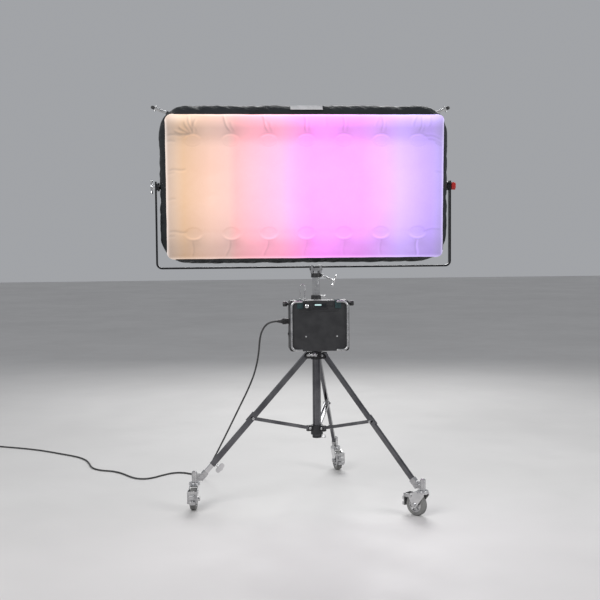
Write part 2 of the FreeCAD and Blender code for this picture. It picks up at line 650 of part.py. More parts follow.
def box_guards():
    """A bent guard rod at each side of the front."""
    radius, bend, y = 5.0, 22.0, BOX_FACE - 6.0
    low, high = BOX_Z0 + 5, BOX_Z1 - 5
    rods = []
    for side in (-1, 1):
        x_out, x_in = BOX_X + side * 129, BOX_X + side * 82
        turn_x = x_out - side * bend
        cut = bend * (1 - math.sqrt(0.5))
        path = Part.Wire([
            Part.LineSegment(V(x_in, y, high), V(turn_x, y, high)).toShape(),
            Part.Arc(V(turn_x, y, high), V(x_out - side * cut, y, high - cut),
                     V(x_out, y, high - bend)).toShape(),
            Part.LineSegment(V(x_out, y, high - bend), V(x_out, y, low + bend)).toShape(),
            Part.Arc(V(x_out, y, low + bend), V(x_out - side * cut, y, low + cut),
                     V(turn_x, y, low)).toShape(),
            Part.LineSegment(V(turn_x, y, low), V(x_in, y, low)).toShape(),
        ])
        ring = Part.Wire([Part.makeCircle(radius, V(x_in, y, high), X)])
        rod = path.makePipeShell([ring], True, False)
        feet = [cylinder(V(x_in, y, z), V(x_in, BOX_FACE, z), radius) for z in (low, high)]
        rods.append(fuse(rod, Part.makeSphere(radius, V(x_in, y, low)),
                         Part.makeSphere(radius, V(x_in, y, high)), *feet))
    return Part.makeCompound(rods)


def box_clamp():
    """Mast clamp with the arm and plate that carry the box."""
    jaw = block(-28, 28, -30, 30, CLAMP_Z0, CLAMP_Z1)
    arm = block(-15, 15, -104, -29, CLAMP_Z0 + 2, CLAMP_Z1 - 2)
    plate = block(-60, 60, BOX_BACK, BOX_BACK + 8, CLAMP_Z0 - 25, CLAMP_Z1 + 20)
    bore = cylinder(V(0, 0, CLAMP_Z0 - 1), V(0, 0, CLAMP_Z1 + 1), COLUMN_R)
    return fuse(jaw, arm, plate).cut(bore).cut(screw_hole(CLAMP_SCREW, Y, 11))


def box_clamp_handle():
    return t_handle(CLAMP_SCREW, Y, Z, 36, 20, 9)


def menu_dial():
    stem = cylinder(V(DIAL_X, BOX_FACE - 2, DIAL_Z), V(DIAL_X, BOX_SEAM, DIAL_Z), 3)
    cap = cylinder(V(DIAL_X, BOX_FACE - 16, DIAL_Z), V(DIAL_X, BOX_FACE + 1, DIAL_Z), DIAL_R)
    return fuse(stem, cap)


def power_switch():
    """Rocker in the box's left side, which pivots just inside the wall."""
    at = V(BOX_SIDE + 6, INLET_Y, SWITCH_Z)
    drum = cylinder(at - Y * 6, at + Y * 6, 11)
    return drum.common(block(at.x - 12, at.x, INLET_Y - 6, INLET_Y + 6, SWITCH_Z - 10, SWITCH_Z + 10))


def power_inlet():
    at = V(BOX_SIDE, INLET_Y, INLET_Z)
    flange = block(at.x - 2.5, at.x, at.y - 13, at.y + 13, at.z - 15, at.z + 15)
    return fuse(flange, cylinder(at, at - X * 12, 12))


# ---------------------------------------------------------------- mains lead
def power_connector():
    """Locking connector with its tapered strain relief."""
    at = V(CONNECTOR_X, INLET_Y, INLET_Z)
    neck = at - X * CONNECTOR_LENGTH
    relief = neck - X * NECK_LENGTH
    return fuse(cylinder(at, neck, 13.5), cylinder(neck, relief, 10.5),
                Part.makeCone(9, LEAD_R + 0.6, RELIEF_LENGTH, relief, -X))


def smooth_path(points):
    """Straight runs joined by tangent arcs; returns the wire, its length and its radii."""
    edges, radii = [], []
    last, length = points[0], 0.0
    for before, here, after in zip(points, points[1:], points[2:]):
        into, out = here - before, after - here
        turn = into.getAngle(out)
        radius = 0.45 * min(into.Length, out.Length) / math.tan(turn / 2)
        reach = radius * math.tan(turn / 2)
        start = here - V(into).normalize() * reach
        end = here + V(out).normalize() * reach
        inward = (V(out).normalize() - V(into).normalize()).normalize()
        middle = here + inward * (radius / math.cos(turn / 2) - radius)
        edges.append(Part.LineSegment(last, start).toShape())
        edges.append(Part.Arc(start, middle, end).toShape())
        radii.append(radius)
        length += (start - last).Length + radius * turn
        last = end
    edges.append(Part.LineSegment(last, points[-1]).toShape())
    length += (points[-1] - last).Length
    return Part.Wire(edges), length, radii


def power_cord():
    wire, length, radii = smooth_path(LEAD_ROUTE)
    ring = Part.Wire([Part.makeCircle(LEAD_R, LEAD_ROUTE[0], LEAD_ROUTE[1] - LEAD_ROUTE[0])])
    solid = wire.makePipeShell([ring], True, False)
    expected = math.pi * LEAD_R ** 2 * length
    print("lead:", round(length), "mm along the tube, radii", [round(r) for r in radii])
    print("lead volume over section times length:", round(solid.Volume / expected, 4))
    print("left for the coil:", round(LEAD_LENGTH - length), "mm")
    return solid


def coil_centre():
    """The lead runs into the coil's outer turn along a tangent, turning left."""
    end = LEAD_ROUTE[-1]
    along = V(end - LEAD_ROUTE[-2]).normalize()
    middle = end + V(-along.y, along.x, 0) * (COIL_OUT - LEAD_R)
    return V(middle.x, middle.y, 0)


def cord_coil():
    centre = coil_centre()
    ring = tube(centre, centre + Z * COIL_HIGH, COIL_OUT, COIL_IN)
    return ring.makeFillet(4, [e for e in ring.Edges if e.Length > 200 and e.Closed])


def plug():
    """Mains plug lying beside the coil, with three blunt pins."""
    centre = coil_centre()
    first = LEAD_ROUTE[-1] - centre
    angle = math.degrees(math.atan2(first.y, first.x)) + 360 * COIL_TURNS
    leave = polar(angle, COIL_OUT - LEAD_R, 14)
    along = polar(angle + 78, 1, 0)
    start = centre + leave + along * 20
    body_at = start + along * 26
    face = body_at + along * 34
    body = fuse(Part.makeCone(LEAD_R + 0.6, 9, 26, start, along), cylinder(body_at, face, 13.5))
    across = V(-along.y, along.x, 0)
    pins = [cylinder(face, face + along * 19, 2.4)]
    for side in (-7, 7):
        pins.append(cylinder(face + across * side, face + across * side + along * 19, 2.2))
    return Part.makeCompound([body] + pins)


# ------------------------------------------------------------------ assembly
def build():
    head = {
        "front_diffuser": front_diffuser, "tuft_ties": tuft_ties, "side_bladder": side_bladder,
        "led_mat": led_mat, "led_strips": led_strips, "rear_cover": rear_cover,
        "frame_hub": frame_hub, "frame_arms": frame_arms, "pivot_crossbar": pivot_crossbar,
        "pivot_plates": pivot_plates, "air_valve": air_valve,
    }
    for name, make in head.items():
        NODES[name] = on_head(make())
    for make in (yoke_bar, tilt_handle, tilt_knob):
        NODES[make.__name__] = on_yoke(make())
    for make in (yoke_bracket, yoke_spigot, outer_column, column_head, column_handle, lower_hub,
                 riser_tube, top_receiver, receiver_handle, leg_collar, collar_handle, leg_left,
                 levelling_leg, levelling_handle, box_case, box_front, box_guards, box_clamp,
                 box_clamp_handle, menu_dial, power_switch, power_inlet, power_connector,
                 power_cord, cord_coil, plug):
        NODES[make.__name__] = make()
    for name in ("right", "rear"):
        NODES["leg_" + name] = leg(name)
    for name in LEG_AZIMUTHS:
        NODES["caster_socket_" + name] = caster_socket(name)
        NODES["brace_" + name] = brace(name)
        for make in (fork, wheel, tyre, pedal):
            NODES[make.__name__ + "_" + name] = place_caster(make(), name)


def export():
    os.makedirs("parts", exist_ok=True)
    for name, shape in NODES.items():
        if not shape.isValid() or not shape.Solids:
            raise SystemExit("not a valid solid: " + name)
        shape.exportStep(os.path.join("parts", name + ".step"))
    print(len(NODES), "nodes")


build()
export()
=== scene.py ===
import json
import math

import bmesh
import bpy
import numpy as np
from mathutils import Matrix, Vector, noise


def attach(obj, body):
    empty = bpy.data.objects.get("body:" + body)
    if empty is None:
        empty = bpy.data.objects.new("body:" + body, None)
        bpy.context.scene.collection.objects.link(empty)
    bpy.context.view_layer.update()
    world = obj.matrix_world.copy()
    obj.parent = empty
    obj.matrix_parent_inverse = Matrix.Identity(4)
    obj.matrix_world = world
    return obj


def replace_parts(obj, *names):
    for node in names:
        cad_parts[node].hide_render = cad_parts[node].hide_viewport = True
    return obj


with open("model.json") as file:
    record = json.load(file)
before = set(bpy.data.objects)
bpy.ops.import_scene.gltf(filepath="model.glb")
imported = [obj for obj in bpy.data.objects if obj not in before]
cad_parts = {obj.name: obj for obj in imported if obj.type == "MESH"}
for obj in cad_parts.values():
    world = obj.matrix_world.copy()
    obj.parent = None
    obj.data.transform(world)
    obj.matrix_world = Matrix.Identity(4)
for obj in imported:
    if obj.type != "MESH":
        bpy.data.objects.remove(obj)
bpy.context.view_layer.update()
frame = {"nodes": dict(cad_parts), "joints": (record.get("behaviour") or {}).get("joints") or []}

# An inflatable film light on a rolling stand.  Lengths are metres in the row's
# frame: Z up, origin on the floor on the mast's axis, lit face towards -Y.

NODES = frame["nodes"]
JOINTS = {joint["name"]: joint for joint in frame["joints"]}
X, Y, Z = Vector((1, 0, 0)), Vector((0, 1, 0)), Vector((0, 0, 1))

# ----- driving sizes
TILT_AXIS = Vector(JOINTS["head_tilt"]["pos_m"])
TILT_REST = math.radians(3.1)
FACE_W, FACE_H, FACE_R = 1.299, 0.668, 0.036
FACE_Y, SEAM_Y, BACK_Y = -0.116, -0.084, 0.074
WALL_HALF_W, WALL_TOP, WALL_LOW, WALL_R = 0.6815, 0.378, 0.361, 0.125
TUFT_COLUMNS, TUFT_ROWS = 7, 4
TUFT_PITCH_X, TUFT_PITCH_Z = 0.1745, 0.1415
TUFT_WIDE, TUFT_TALL = 0.038, 0.026
LEAD_R, LEAD_LIES, LEAD_LENGTH = 0.00425, 0.0043, 4.5
COIL_OUT, COIL_TURNS, TURNS_DEEP = 0.06, 5.3, 2
PLUG_TAIL, PLUG_HIGH, TAIL_BEND = 0.02, 0.014, math.radians(78)
TIE_OUT, TIE_HIGH, TIE_MIDDLE, TIE_R = 0.0155, 0.0092, 0.0048, 0.0012

LEAD_FALL = [
    (-0.198, -0.15, 0.859), (-0.225, -0.149, 0.857), (-0.25, -0.141, 0.841), (-0.268, -0.125, 0.81),
    (-0.276, -0.098, 0.765), (-0.278, -0.062, 0.711), (-0.286, -0.016, 0.646), (-0.301, 0.036, 0.58),
    (-0.325, 0.091, 0.511), (-0.356, 0.146, 0.437), (-0.389, 0.198, 0.36), (-0.422, 0.248, 0.283),
    (-0.455, 0.297, 0.208), (-0.488, 0.347, 0.134), (-0.521, 0.398, 0.064), (-0.556, 0.447, 0.015),
]
LEAD_FLOOR = [
    (-0.601, 0.497), (-0.655, 0.547), (-0.712, 0.551), (-0.768, 0.498), (-0.823, 0.433),
    (-0.88, 0.425), (-0.929, 0.476), (-0.975, 0.56), (-1.033, 0.626), (-1.104, 0.65),
    (-1.158, 0.72), (-1.18, 0.82), (-1.212, 0.93), (-1.276, 1.024), (-1.369, 1.104),
    (-1.465, 1.19), (-1.56, 1.26), (-1.66, 1.315), (-1.752, 1.36), (-1.832, 1.404),
]
LEAD_ROUTE = LEAD_FALL + [(x, y, LEAD_LIES) for x, y in LEAD_FLOOR]


# ----- camera
def make_camera():
    """Stands five metres in front, a little to the left, and looks slightly down."""
    azimuth, pitch, roll = map(math.radians, (-4.73, 3.63, -0.45))
    distance, aside, height = 5.0, -0.0766, 1.2636
    data = bpy.data.cameras.new("camera")
    data.lens = 62.98
    camera = linked("camera", data)
    across = Vector((math.cos(azimuth), math.sin(azimuth), 0))
    ahead = Vector((-math.sin(azimuth), math.cos(azimuth), 0))
    forward = ahead * math.cos(pitch) - Z * math.sin(pitch)
    above = across.cross(forward)
    right = across * math.cos(roll) + above * math.sin(roll)
    up = above * math.cos(roll) - across * math.sin(roll)
    place = Matrix((right, up, -forward)).transposed().to_4x4()
    place.translation = across * aside - ahead * distance + Z * height
    camera.matrix_world = place
    bpy.context.scene.camera = camera


# ----- materials
def sockets(node, values):
    for name, value in values.items():
        node.inputs[name].default_value = value


def texture(tree, kind, scale, detail=4.0, stretch=(1, 1, 1)):
    """A procedural texture in the object's own coordinates."""
    place = tree.nodes.new("ShaderNodeTexCoord")
    mapping = tree.nodes.new("ShaderNodeMapping")
    mapping.inputs["Scale"].default_value = stretch
    tree.links.new(place.outputs["Object"], mapping.inputs["Vector"])
    node = tree.nodes.new("ShaderNodeTex" + kind)
    tree.links.new(mapping.outputs["Vector"], node.inputs["Vector"])
    node.inputs["Scale"].default_value = scale
    if kind == "Noise":
        node.inputs["Detail"].default_value = detail
    return node


def ramp(tree, source, stops):
    node = tree.nodes.new("ShaderNodeValToRGB")
    elements = node.color_ramp.elements
    while len(elements) < len(stops):
        elements.new(0.5)
    for element, (place, colour) in zip(elements, stops):
        element.position = place
        element.color = (*colour, 1.0)
    tree.links.new(source, node.inputs["Fac"])
    return node


def add_bump(tree, shader, height, strength, distance):
    node = tree.nodes.new("ShaderNodeBump")
    sockets(node, {"Strength": strength, "Distance": distance})
    tree.links.new(height, node.inputs["Height"])
    previous = shader.inputs["Normal"].links
    if previous:
        tree.links.new(previous[0].from_socket, node.inputs["Normal"])
    tree.links.new(node.outputs["Normal"], shader.inputs["Normal"])


def surface(name, dark, light, roughness, metallic=0.0, patch=9.0, grain=400.0, grain_depth=0.0002,
            stretch=(1, 1, 1), weave=0.0, extra=None):
    """Two-tone colour in soft patches, uneven roughness, and a fine grain or a weave in relief."""
    material = bpy.data.materials.new(name)
    material.use_nodes = True
    tree = material.node_tree
    shader = tree.nodes["Principled BSDF"]
    sockets(shader, {"Metallic": metallic, **(extra or {})})
    patches = texture(tree, "Noise", patch, 6.0)
    colours = ramp(tree, patches.outputs["Fac"], [(0.32, dark), (0.68, light)])
    tree.links.new(colours.outputs["Color"], shader.inputs["Base Color"])
    smear = texture(tree, "Noise", patch * 5, 5.0, stretch)
    low, high = roughness
    rough = ramp(tree, smear.outputs["Fac"], [(0.3, (low,) * 3), (0.7, (high,) * 3)])
    tree.links.new(rough.outputs["Color"], shader.inputs["Roughness"])
    fine = texture(tree, "Noise", grain, 3.0, stretch)
    add_bump(tree, shader, fine.outputs["Fac"], 0.35, grain_depth)
    if weave:
        for direction in ("X", "Z"):
            threads = texture(tree, "Wave", weave)
            threads.bands_direction = direction
            add_bump(tree, shader, threads.outputs["Fac"], 0.25, 0.0003)
    return material


MIX_A, MIX_B, MIX_COLOUR = 6, 7, 2     # sockets of a Mix node in colour mode


def attribute(tree, name):
    node = tree.nodes.new("ShaderNodeAttribute")
    node.attribute_name = name
    return node.outputs["Fac"]


def lit_cloth():
    """White ripstop lit from behind: one colour melts into the next from left to right, and a painted
    highlight whitens it along the rim.
    """
    material = surface("lit_cloth", (0.1, 0.1, 0.11), (0.14, 0.14, 0.15), (0.45, 0.65), weave=260.0,
                       patch=6.0, grain=900.0, extra={"Specular IOR Level": 0.2})
    tree = material.node_tree
    shader = tree.nodes["Principled BSDF"]
    # Painted highlight: the "rim" attribute mixes the base colour towards white (0.7, 0.69, 0.7) along the
    # seam and at the slack top corners.
    rim_highlight_mix = tree.nodes.new("ShaderNodeMix")
    rim_highlight_mix.data_type = "RGBA"
    tree.links.new(attribute(tree, "rim"), rim_highlight_mix.inputs["Factor"])
    tree.links.new(shader.inputs["Base Color"].links[0].from_socket, rim_highlight_mix.inputs[MIX_A])
    rim_highlight_mix.inputs[MIX_B].default_value = (0.7, 0.69, 0.7, 1)
    tree.links.new(rim_highlight_mix.outputs[MIX_COLOUR], shader.inputs["Base Color"])
    place = tree.nodes.new("ShaderNodeTexCoord")
    parts = tree.nodes.new("ShaderNodeSeparateXYZ")
    tree.links.new(place.outputs["Object"], parts.inputs["Vector"])
    span = tree.nodes.new("ShaderNodeMapRange")
    sockets(span, {"From Min": TILT_AXIS.x - FACE_W / 2, "From Max": TILT_AXIS.x + FACE_W / 2})
    tree.links.new(parts.outputs["X"], span.inputs["Value"])
    hues = ramp(tree, span.outputs["Result"], [
        (0.00, (0.47, 0.34, 0.26)), (0.035, (0.48, 0.32, 0.21)), (0.065, (0.52, 0.315, 0.17)),
        (0.16, (0.63, 0.385, 0.295)), (0.22, (0.64, 0.38, 0.33)), (0.25, (0.74, 0.33, 0.33)),
        (0.3, (0.86, 0.34, 0.41)), (0.41, (1.00, 0.34, 0.55)), (0.47, (1.00, 0.28, 0.68)),
        (0.52, (0.98, 0.25, 0.9)), (0.57, (0.97, 0.255, 0.97)), (0.7, (0.76, 0.25, 0.86)),
        (0.835, (0.55, 0.345, 0.93)), (0.95, (0.37, 0.235, 0.72)), (1.00, (0.33, 0.25, 0.6)),
    ])
    tree.links.new(hues.outputs["Color"], shader.inputs["Emission Color"])
    tree.links.new(attribute(tree, "glow"), shader.inputs["Emission Strength"])
    return material


# Each finish: dark tone, light tone, least and most roughness, then what differs from plain.
FINISHES = {
    "black_nylon": ((0.006, 0.008, 0.009), (0.014, 0.017, 0.02), (0.45, 0.65), dict(
        patch=7.0, grain=1200.0, weave=330.0, extra={"Specular IOR Level": 0.35})),
    "webbing": ((0.01, 0.011, 0.013), (0.022, 0.024, 0.027), (0.6, 0.8), dict(
        patch=60.0, grain=1500.0, weave=240.0)),
    "tuft_tape": ((0.55, 0.52, 0.55), (0.68, 0.65, 0.68), (0.6, 0.8), dict(weave=300.0)),
    "label_grey": ((0.42, 0.42, 0.43), (0.55, 0.55, 0.56), (0.5, 0.7), dict(weave=420.0, patch=30.0)),
    "teal_strap": ((0.008, 0.026, 0.028), (0.014, 0.045, 0.048), (0.6, 0.8), dict(
        weave=240.0, patch=40.0)),
    "mat_cloth": ((0.62, 0.62, 0.58), (0.72, 0.72, 0.68), (0.5, 0.7), dict(patch=20.0)),
    "led_tape": ((0.75, 0.55, 0.18), (0.85, 0.7, 0.28), (0.3, 0.5), dict(patch=80.0)),
    "anodised": ((0.016, 0.016, 0.018), (0.034, 0.034, 0.037), (0.3, 0.46), dict(
        metallic=0.85, patch=14.0, grain=900.0, stretch=(0.2, 1, 1))),
    "powder_coat": ((0.018, 0.018, 0.02), (0.032, 0.032, 0.034), (0.38, 0.55), dict(
        metallic=0.1, patch=25.0, grain=650.0, grain_depth=0.0004)),
    "dark_chrome": ((0.1, 0.1, 0.11), (0.19, 0.19, 0.2), (0.1, 0.24), dict(
        metallic=1.0, patch=12.0, grain=300.0, grain_depth=0.00005, stretch=(1, 1, 0.1))),
    "bright_chrome": ((0.62, 0.62, 0.63), (0.8, 0.8, 0.8), (0.05, 0.18), dict(
        metallic=1.0, patch=18.0, grain=250.0, grain_depth=0.00004)),
    "zinc": ((0.42, 0.42, 0.43), (0.62, 0.62, 0.62), (0.22, 0.4), dict(
        metallic=1.0, patch=30.0, grain=500.0, grain_depth=0.00012)),
    "rubber": ((0.03, 0.03, 0.031), (0.06, 0.06, 0.06), (0.55, 0.78), dict(
        patch=30.0, grain=800.0, grain_depth=0.0004)),
    "tyre_rubber": ((0.13, 0.13, 0.13), (0.24, 0.24, 0.23), (0.55, 0.8), dict(
        patch=25.0, grain=500.0, grain_depth=0.0004)),
    "plastic": ((0.014, 0.014, 0.015), (0.03, 0.03, 0.031), (0.3, 0.45), dict(
        patch=40.0, grain=900.0)),
    "red_plastic": ((0.38, 0.01, 0.008), (0.55, 0.022, 0.016), (0.28, 0.42), dict(
        patch=50.0, grain=700.0)),
    "glass_black": ((0.006, 0.007, 0.009), (0.012, 0.013, 0.016), (0.05, 0.12), dict(
        patch=30.0, grain=200.0, grain_depth=0.00002)),
    "display_glow": ((0.3, 0.42, 0.42), (0.36, 0.5, 0.5), (0.1, 0.2), dict(
        patch=90.0, extra={"Emission Color": (0.7, 1.0, 0.97, 1.0), "Emission Strength": 0.45})),
}
MATERIALS = {"lit_cloth": lit_cloth()}
for finish, (dark, light, roughness, rest) in FINISHES.items():
    MATERIALS[finish] = surface(finish, dark, light, roughness, **rest)


# ----- mesh helpers
def finish_piece(obj, body, material, smooth=35.0):
    """Material, smooth shading up to an angle, and body."""
    obj.data.materials.clear()
    obj.data.materials.append(MATERIALS[material])
    if obj.type == "MESH" and smooth:
        obj.data.shade_smooth()
        obj.data.set_sharp_from_angle(angle=math.radians(smooth))
    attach(obj, body)
    return obj


def linked(name, data):
    obj = bpy.data.objects.new(name, data)
    bpy.context.scene.collection.objects.link(obj)
    return obj


def mesh_object(name, vertices, faces):
    mesh = bpy.data.meshes.new(name)
    mesh.from_pydata([tuple(v) for v in vertices], [], faces)
    mesh.validate()
    return linked(name, mesh)


def from_bmesh(name, bm):
    bmesh.ops.recalc_face_normals(bm, faces=bm.faces)
    mesh = bpy.data.meshes.new(name)
    bm.to_mesh(mesh)
    bm.free()
    return linked(name, mesh)


def lathe_into(bm, base, direction, profile, sides=40, ring=False):
    """Turns a (radius, height) profile about a line; a ring's profile closes on itself."""
    turn = direction.normalized().to_track_quat("Z", "Y").to_matrix()
    rings = []
    for radius, height in profile:
        loop = []
        for i in range(sides):
            angle = 2 * math.pi * i / sides
            point = Vector((radius * math.cos(angle), radius * math.sin(angle), height))
            loop.append(bm.verts.new(base + turn @ point))
        rings.append(loop)
    for one, two in zip(rings, rings[1:] + rings[:1] if ring else rings[1:]):
        for i in range(sides):
            j = (i + 1) % sides
            bm.faces.new((one[i], one[j], two[j], two[i]))
    if not ring:
        bm.faces.new(list(reversed(rings[0])))
        bm.faces.new(rings[-1])


def made(name, bm, body, slot, material):
    return finish_piece(from_bmesh(name, bm), body, material)


def made_on_head(name, bm, material):
    return finish_piece(on_head(from_bmesh(name, bm)), "head", material)


def block_into(bm, low, high, bevel=0.001, turn=None):
    """A box with rounded edges."""
    new = bmesh.ops.create_cube(bm, size=1.0)["verts"]
    low, high = Vector(low), Vector(high)
    for v in new:
        v.co = Vector(a * b for a, b in zip(v.co, high - low)) + (low + high) / 2
    edges = list({e for v in new for e in v.link_edges})
    made = bmesh.ops.bevel(bm, geom=edges, offset=bevel, segments=3, profile=0.5, affect="EDGES")
    if turn is not None:
        moved = set(made["verts"]) | {v for v in new if v.is_valid}
        bmesh.ops.transform(bm, matrix=turn, verts=list(moved))


def rod(name, points, radius, body, material, cyclic=False, roundness=5):
    """A round bar, a ring or a cord along a smooth line."""
    data = bpy.data.curves.new(name, "CURVE")
    data.dimensions = "3D"
    data.bevel_depth = radius
    data.bevel_resolution = roundness
    data.use_fill_caps = True
    spline = data.splines.new("NURBS")
    spline.points.add(len(points) - 1)
    for point, place in zip(spline.points, points):
        point.co = (*place, 1)
    spline.order_u = 3
    spline.use_endpoint_u = not cyclic
    spline.use_cyclic_u = cyclic
    spline.resolution_u = 8
    return finish_piece(linked(name, data), body, material)


def polar(azimuth, radius, height):
    angle = math.radians(azimuth)
    return Vector((radius * math.cos(angle), radius * math.sin(angle), height))


def turned(place, degrees, axis):
    return Matrix.Translation(place) @ Matrix.Rotation(math.radians(degrees), 4, axis)


HEAD_PLACE = Matrix.Translation(TILT_AXIS) @ Matrix.Rotation(TILT_REST, 4, "X")


def on_head(obj):
    """Moves a mesh drawn about the tilt axis into its tilted place."""
    obj.data.transform(HEAD_PLACE)
    return obj


# ----- mains lead
def coil_points():
    """The put-away turns: inwards on the floor, then outwards on top of them."""
    end, before = Vector(LEAD_ROUTE[-1]), Vector(LEAD_ROUTE[-2])
    along = (end - before).normalized()
    outer = COIL_OUT - LEAD_R
    centre = end + Vector((-along.y, along.x, 0)) * outer
    first = end - centre
    start = math.atan2(first.y, first.x)
    pitch, per_turn, rise, step_up = 0.0087, 16, 2.1 * LEAD_R, 0.65
    points = []
    for i in range(1, round(COIL_TURNS * per_turn) + 1):
        turn = i / per_turn
        inwards = min(turn, TURNS_DEEP)
        outwards = min(max(turn - TURNS_DEEP - step_up, 0), TURNS_DEEP)
        lift = min(max((turn - TURNS_DEEP) / step_up, 0), 1)
        radius = (outer - pitch * (inwards - outwards)) / math.cos(math.pi / per_turn)
        angle = start + 2 * math.pi * turn
        points.append(centre + Vector((radius * math.cos(angle), radius * math.sin(angle), 0))
                      + Z * rise * lift)
    angle = start + 2 * math.pi * COIL_TURNS
    away = angle + TAIL_BEND
    tail = centre + outer * Vector((math.cos(angle), math.sin(angle), 0))
    tail += PLUG_TAIL * Vector((math.cos(away), math.sin(away), 0))
    tail.z = PLUG_HIGH
    return points, tail, centre


def mains_lead():
    """The cord from the connector to its plug, and the three ties round the coil."""
    turns, tail, centre = coil_points()
    route = LEAD_ROUTE + turns + [tail]
    lead = rod("mains_lead", route, LEAD_R, "stand", "rubber", roundness=4)
    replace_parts(lead, "power_cord", "cord_coil")
    for i, azimuth in enumerate((20, 140, 260)):
        side = polar(azimuth, 1, 0)
        middle = centre + side * (COIL_OUT - 3 * LEAD_R)
        ring = []
        for step in range(16):
            angle = 2 * math.pi * step / 16
            ring.append(middle + side * TIE_OUT * math.cos(angle)
                        + Z * (TIE_HIGH * math.sin(angle) + TIE_MIDDLE))
        rod(f"coil_tie_{i}", ring, TIE_R, "stand", "webbing", cyclic=True)


make_camera()
mains_lead()


# ----- soft softbox
def corner_rounded(x, z, half_w, half_h, radius):
    """Pulls a square corner onto a round one."""
    cx, cz = half_w - radius, half_h - radius
    dx, dz = abs(x) - cx, abs(z) - cz
    if dx <= 0 or dz <= 0:
        return x, z
    scale = max(dx, dz) / math.hypot(dx, dz)
    return math.copysign(cx + dx * scale, x), math.copysign(cz + dz * scale, z)


def tuft_places():
    for row in range(TUFT_ROWS):
        for column in range(TUFT_COLUMNS):
            yield ((column - (TUFT_COLUMNS - 1) / 2) * TUFT_PITCH_X,
                   (row - (TUFT_ROWS - 1) / 2) * TUFT_PITCH_Z,
                   row in (0, TUFT_ROWS - 1))


def inflate(obj, pinned, pressure, spare, frames, cap):
    """Blows a cloth up between its pinned points and keeps the result."""
    start = np.array([v.co for v in obj.data.vertices])
    group = obj.vertex_groups.new(name="held")
    group.add(pinned, 1.0, "REPLACE")
    cloth = obj.modifiers.new("cloth", "CLOTH")
    settings = cloth.settings
    settings.vertex_group_mass = "held"
    settings.quality = 5
    settings.mass = 0.15
    settings.tension_stiffness = settings.compression_stiffness = 20
    settings.shear_stiffness = 8
    settings.bending_stiffness = 0.05
    settings.use_pressure = True
    settings.uniform_pressure_force = pressure
    settings.shrink_min = -spare
    settings.effector_weights.gravity = 0
    cloth.point_cache.frame_start, cloth.point_cache.frame_end = 1, frames
    for step in range(1, frames + 1):
        bpy.context.scene.frame_set(step)
    graph = bpy.context.evaluated_depsgraph_get()
    result = obj.evaluated_get(graph).to_mesh()
    moved = np.array([v.co for v in result.vertices]) - start
    obj.evaluated_get(graph).to_mesh_clear()
    size = np.linalg.norm(moved, axis=1, keepdims=True)
    moved *= np.minimum(1.0, cap / np.maximum(size, 1e-9))
    obj.modifiers.clear()
    obj.vertex_groups.clear()
    obj.data.vertices.foreach_set("co", (start + moved).ravel())
    obj.data.update()
    bpy.context.scene.frame_set(1)


def subdivide(obj):
    """One level of smooth subdivision, kept in the mesh with any other modifier."""
    smooth = obj.modifiers.new("smooth", "SUBSURF")
    smooth.levels = smooth.render_levels = 1
    graph = bpy.context.evaluated_depsgraph_get()
    mesh = bpy.data.meshes.new_from_object(obj.evaluated_get(graph))
    obj.modifiers.clear()
    obj.data = mesh


def smoothstep(value):
    value = np.clip(value, 0, 1)
    return value * value * (3 - 2 * value)


def bell(value, width):
    return np.exp(-(value / width) ** 2)


def grid_faces(columns, rows):
    across = columns + 1
    return [(j * across + i, j * across + i + 1, (j + 1) * across + i + 1, (j + 1) * across + i)
            for j in range(rows) for i in range(columns)]


def skin(obj, material):
    """Tilts a cloth into place and finishes it smooth all over."""
    finish_piece(on_head(obj), "head", material, 0)
    obj.data.shade_smooth()


FOLD_SHADE, FOLD_GLINT = 1.5, 0.5   # how much a crease dims the cloth, and how light its far side is
WANDER, WANDER_WAVE = 0.0035, 70    # a crease isn't straight
# The last two set a painted highlight: how far the base colour is whitened along the rim and at the slack
# top corners.
CLOTH_GLOW, RIM_HIGHLIGHT, SLACK_HIGHLIGHT = 1.45, 0.75, 0.55
DISC_PRESS = 0.006
GATHER, PUCKER = 24, 62             # waves of the wall's wide and fine folds, per metre


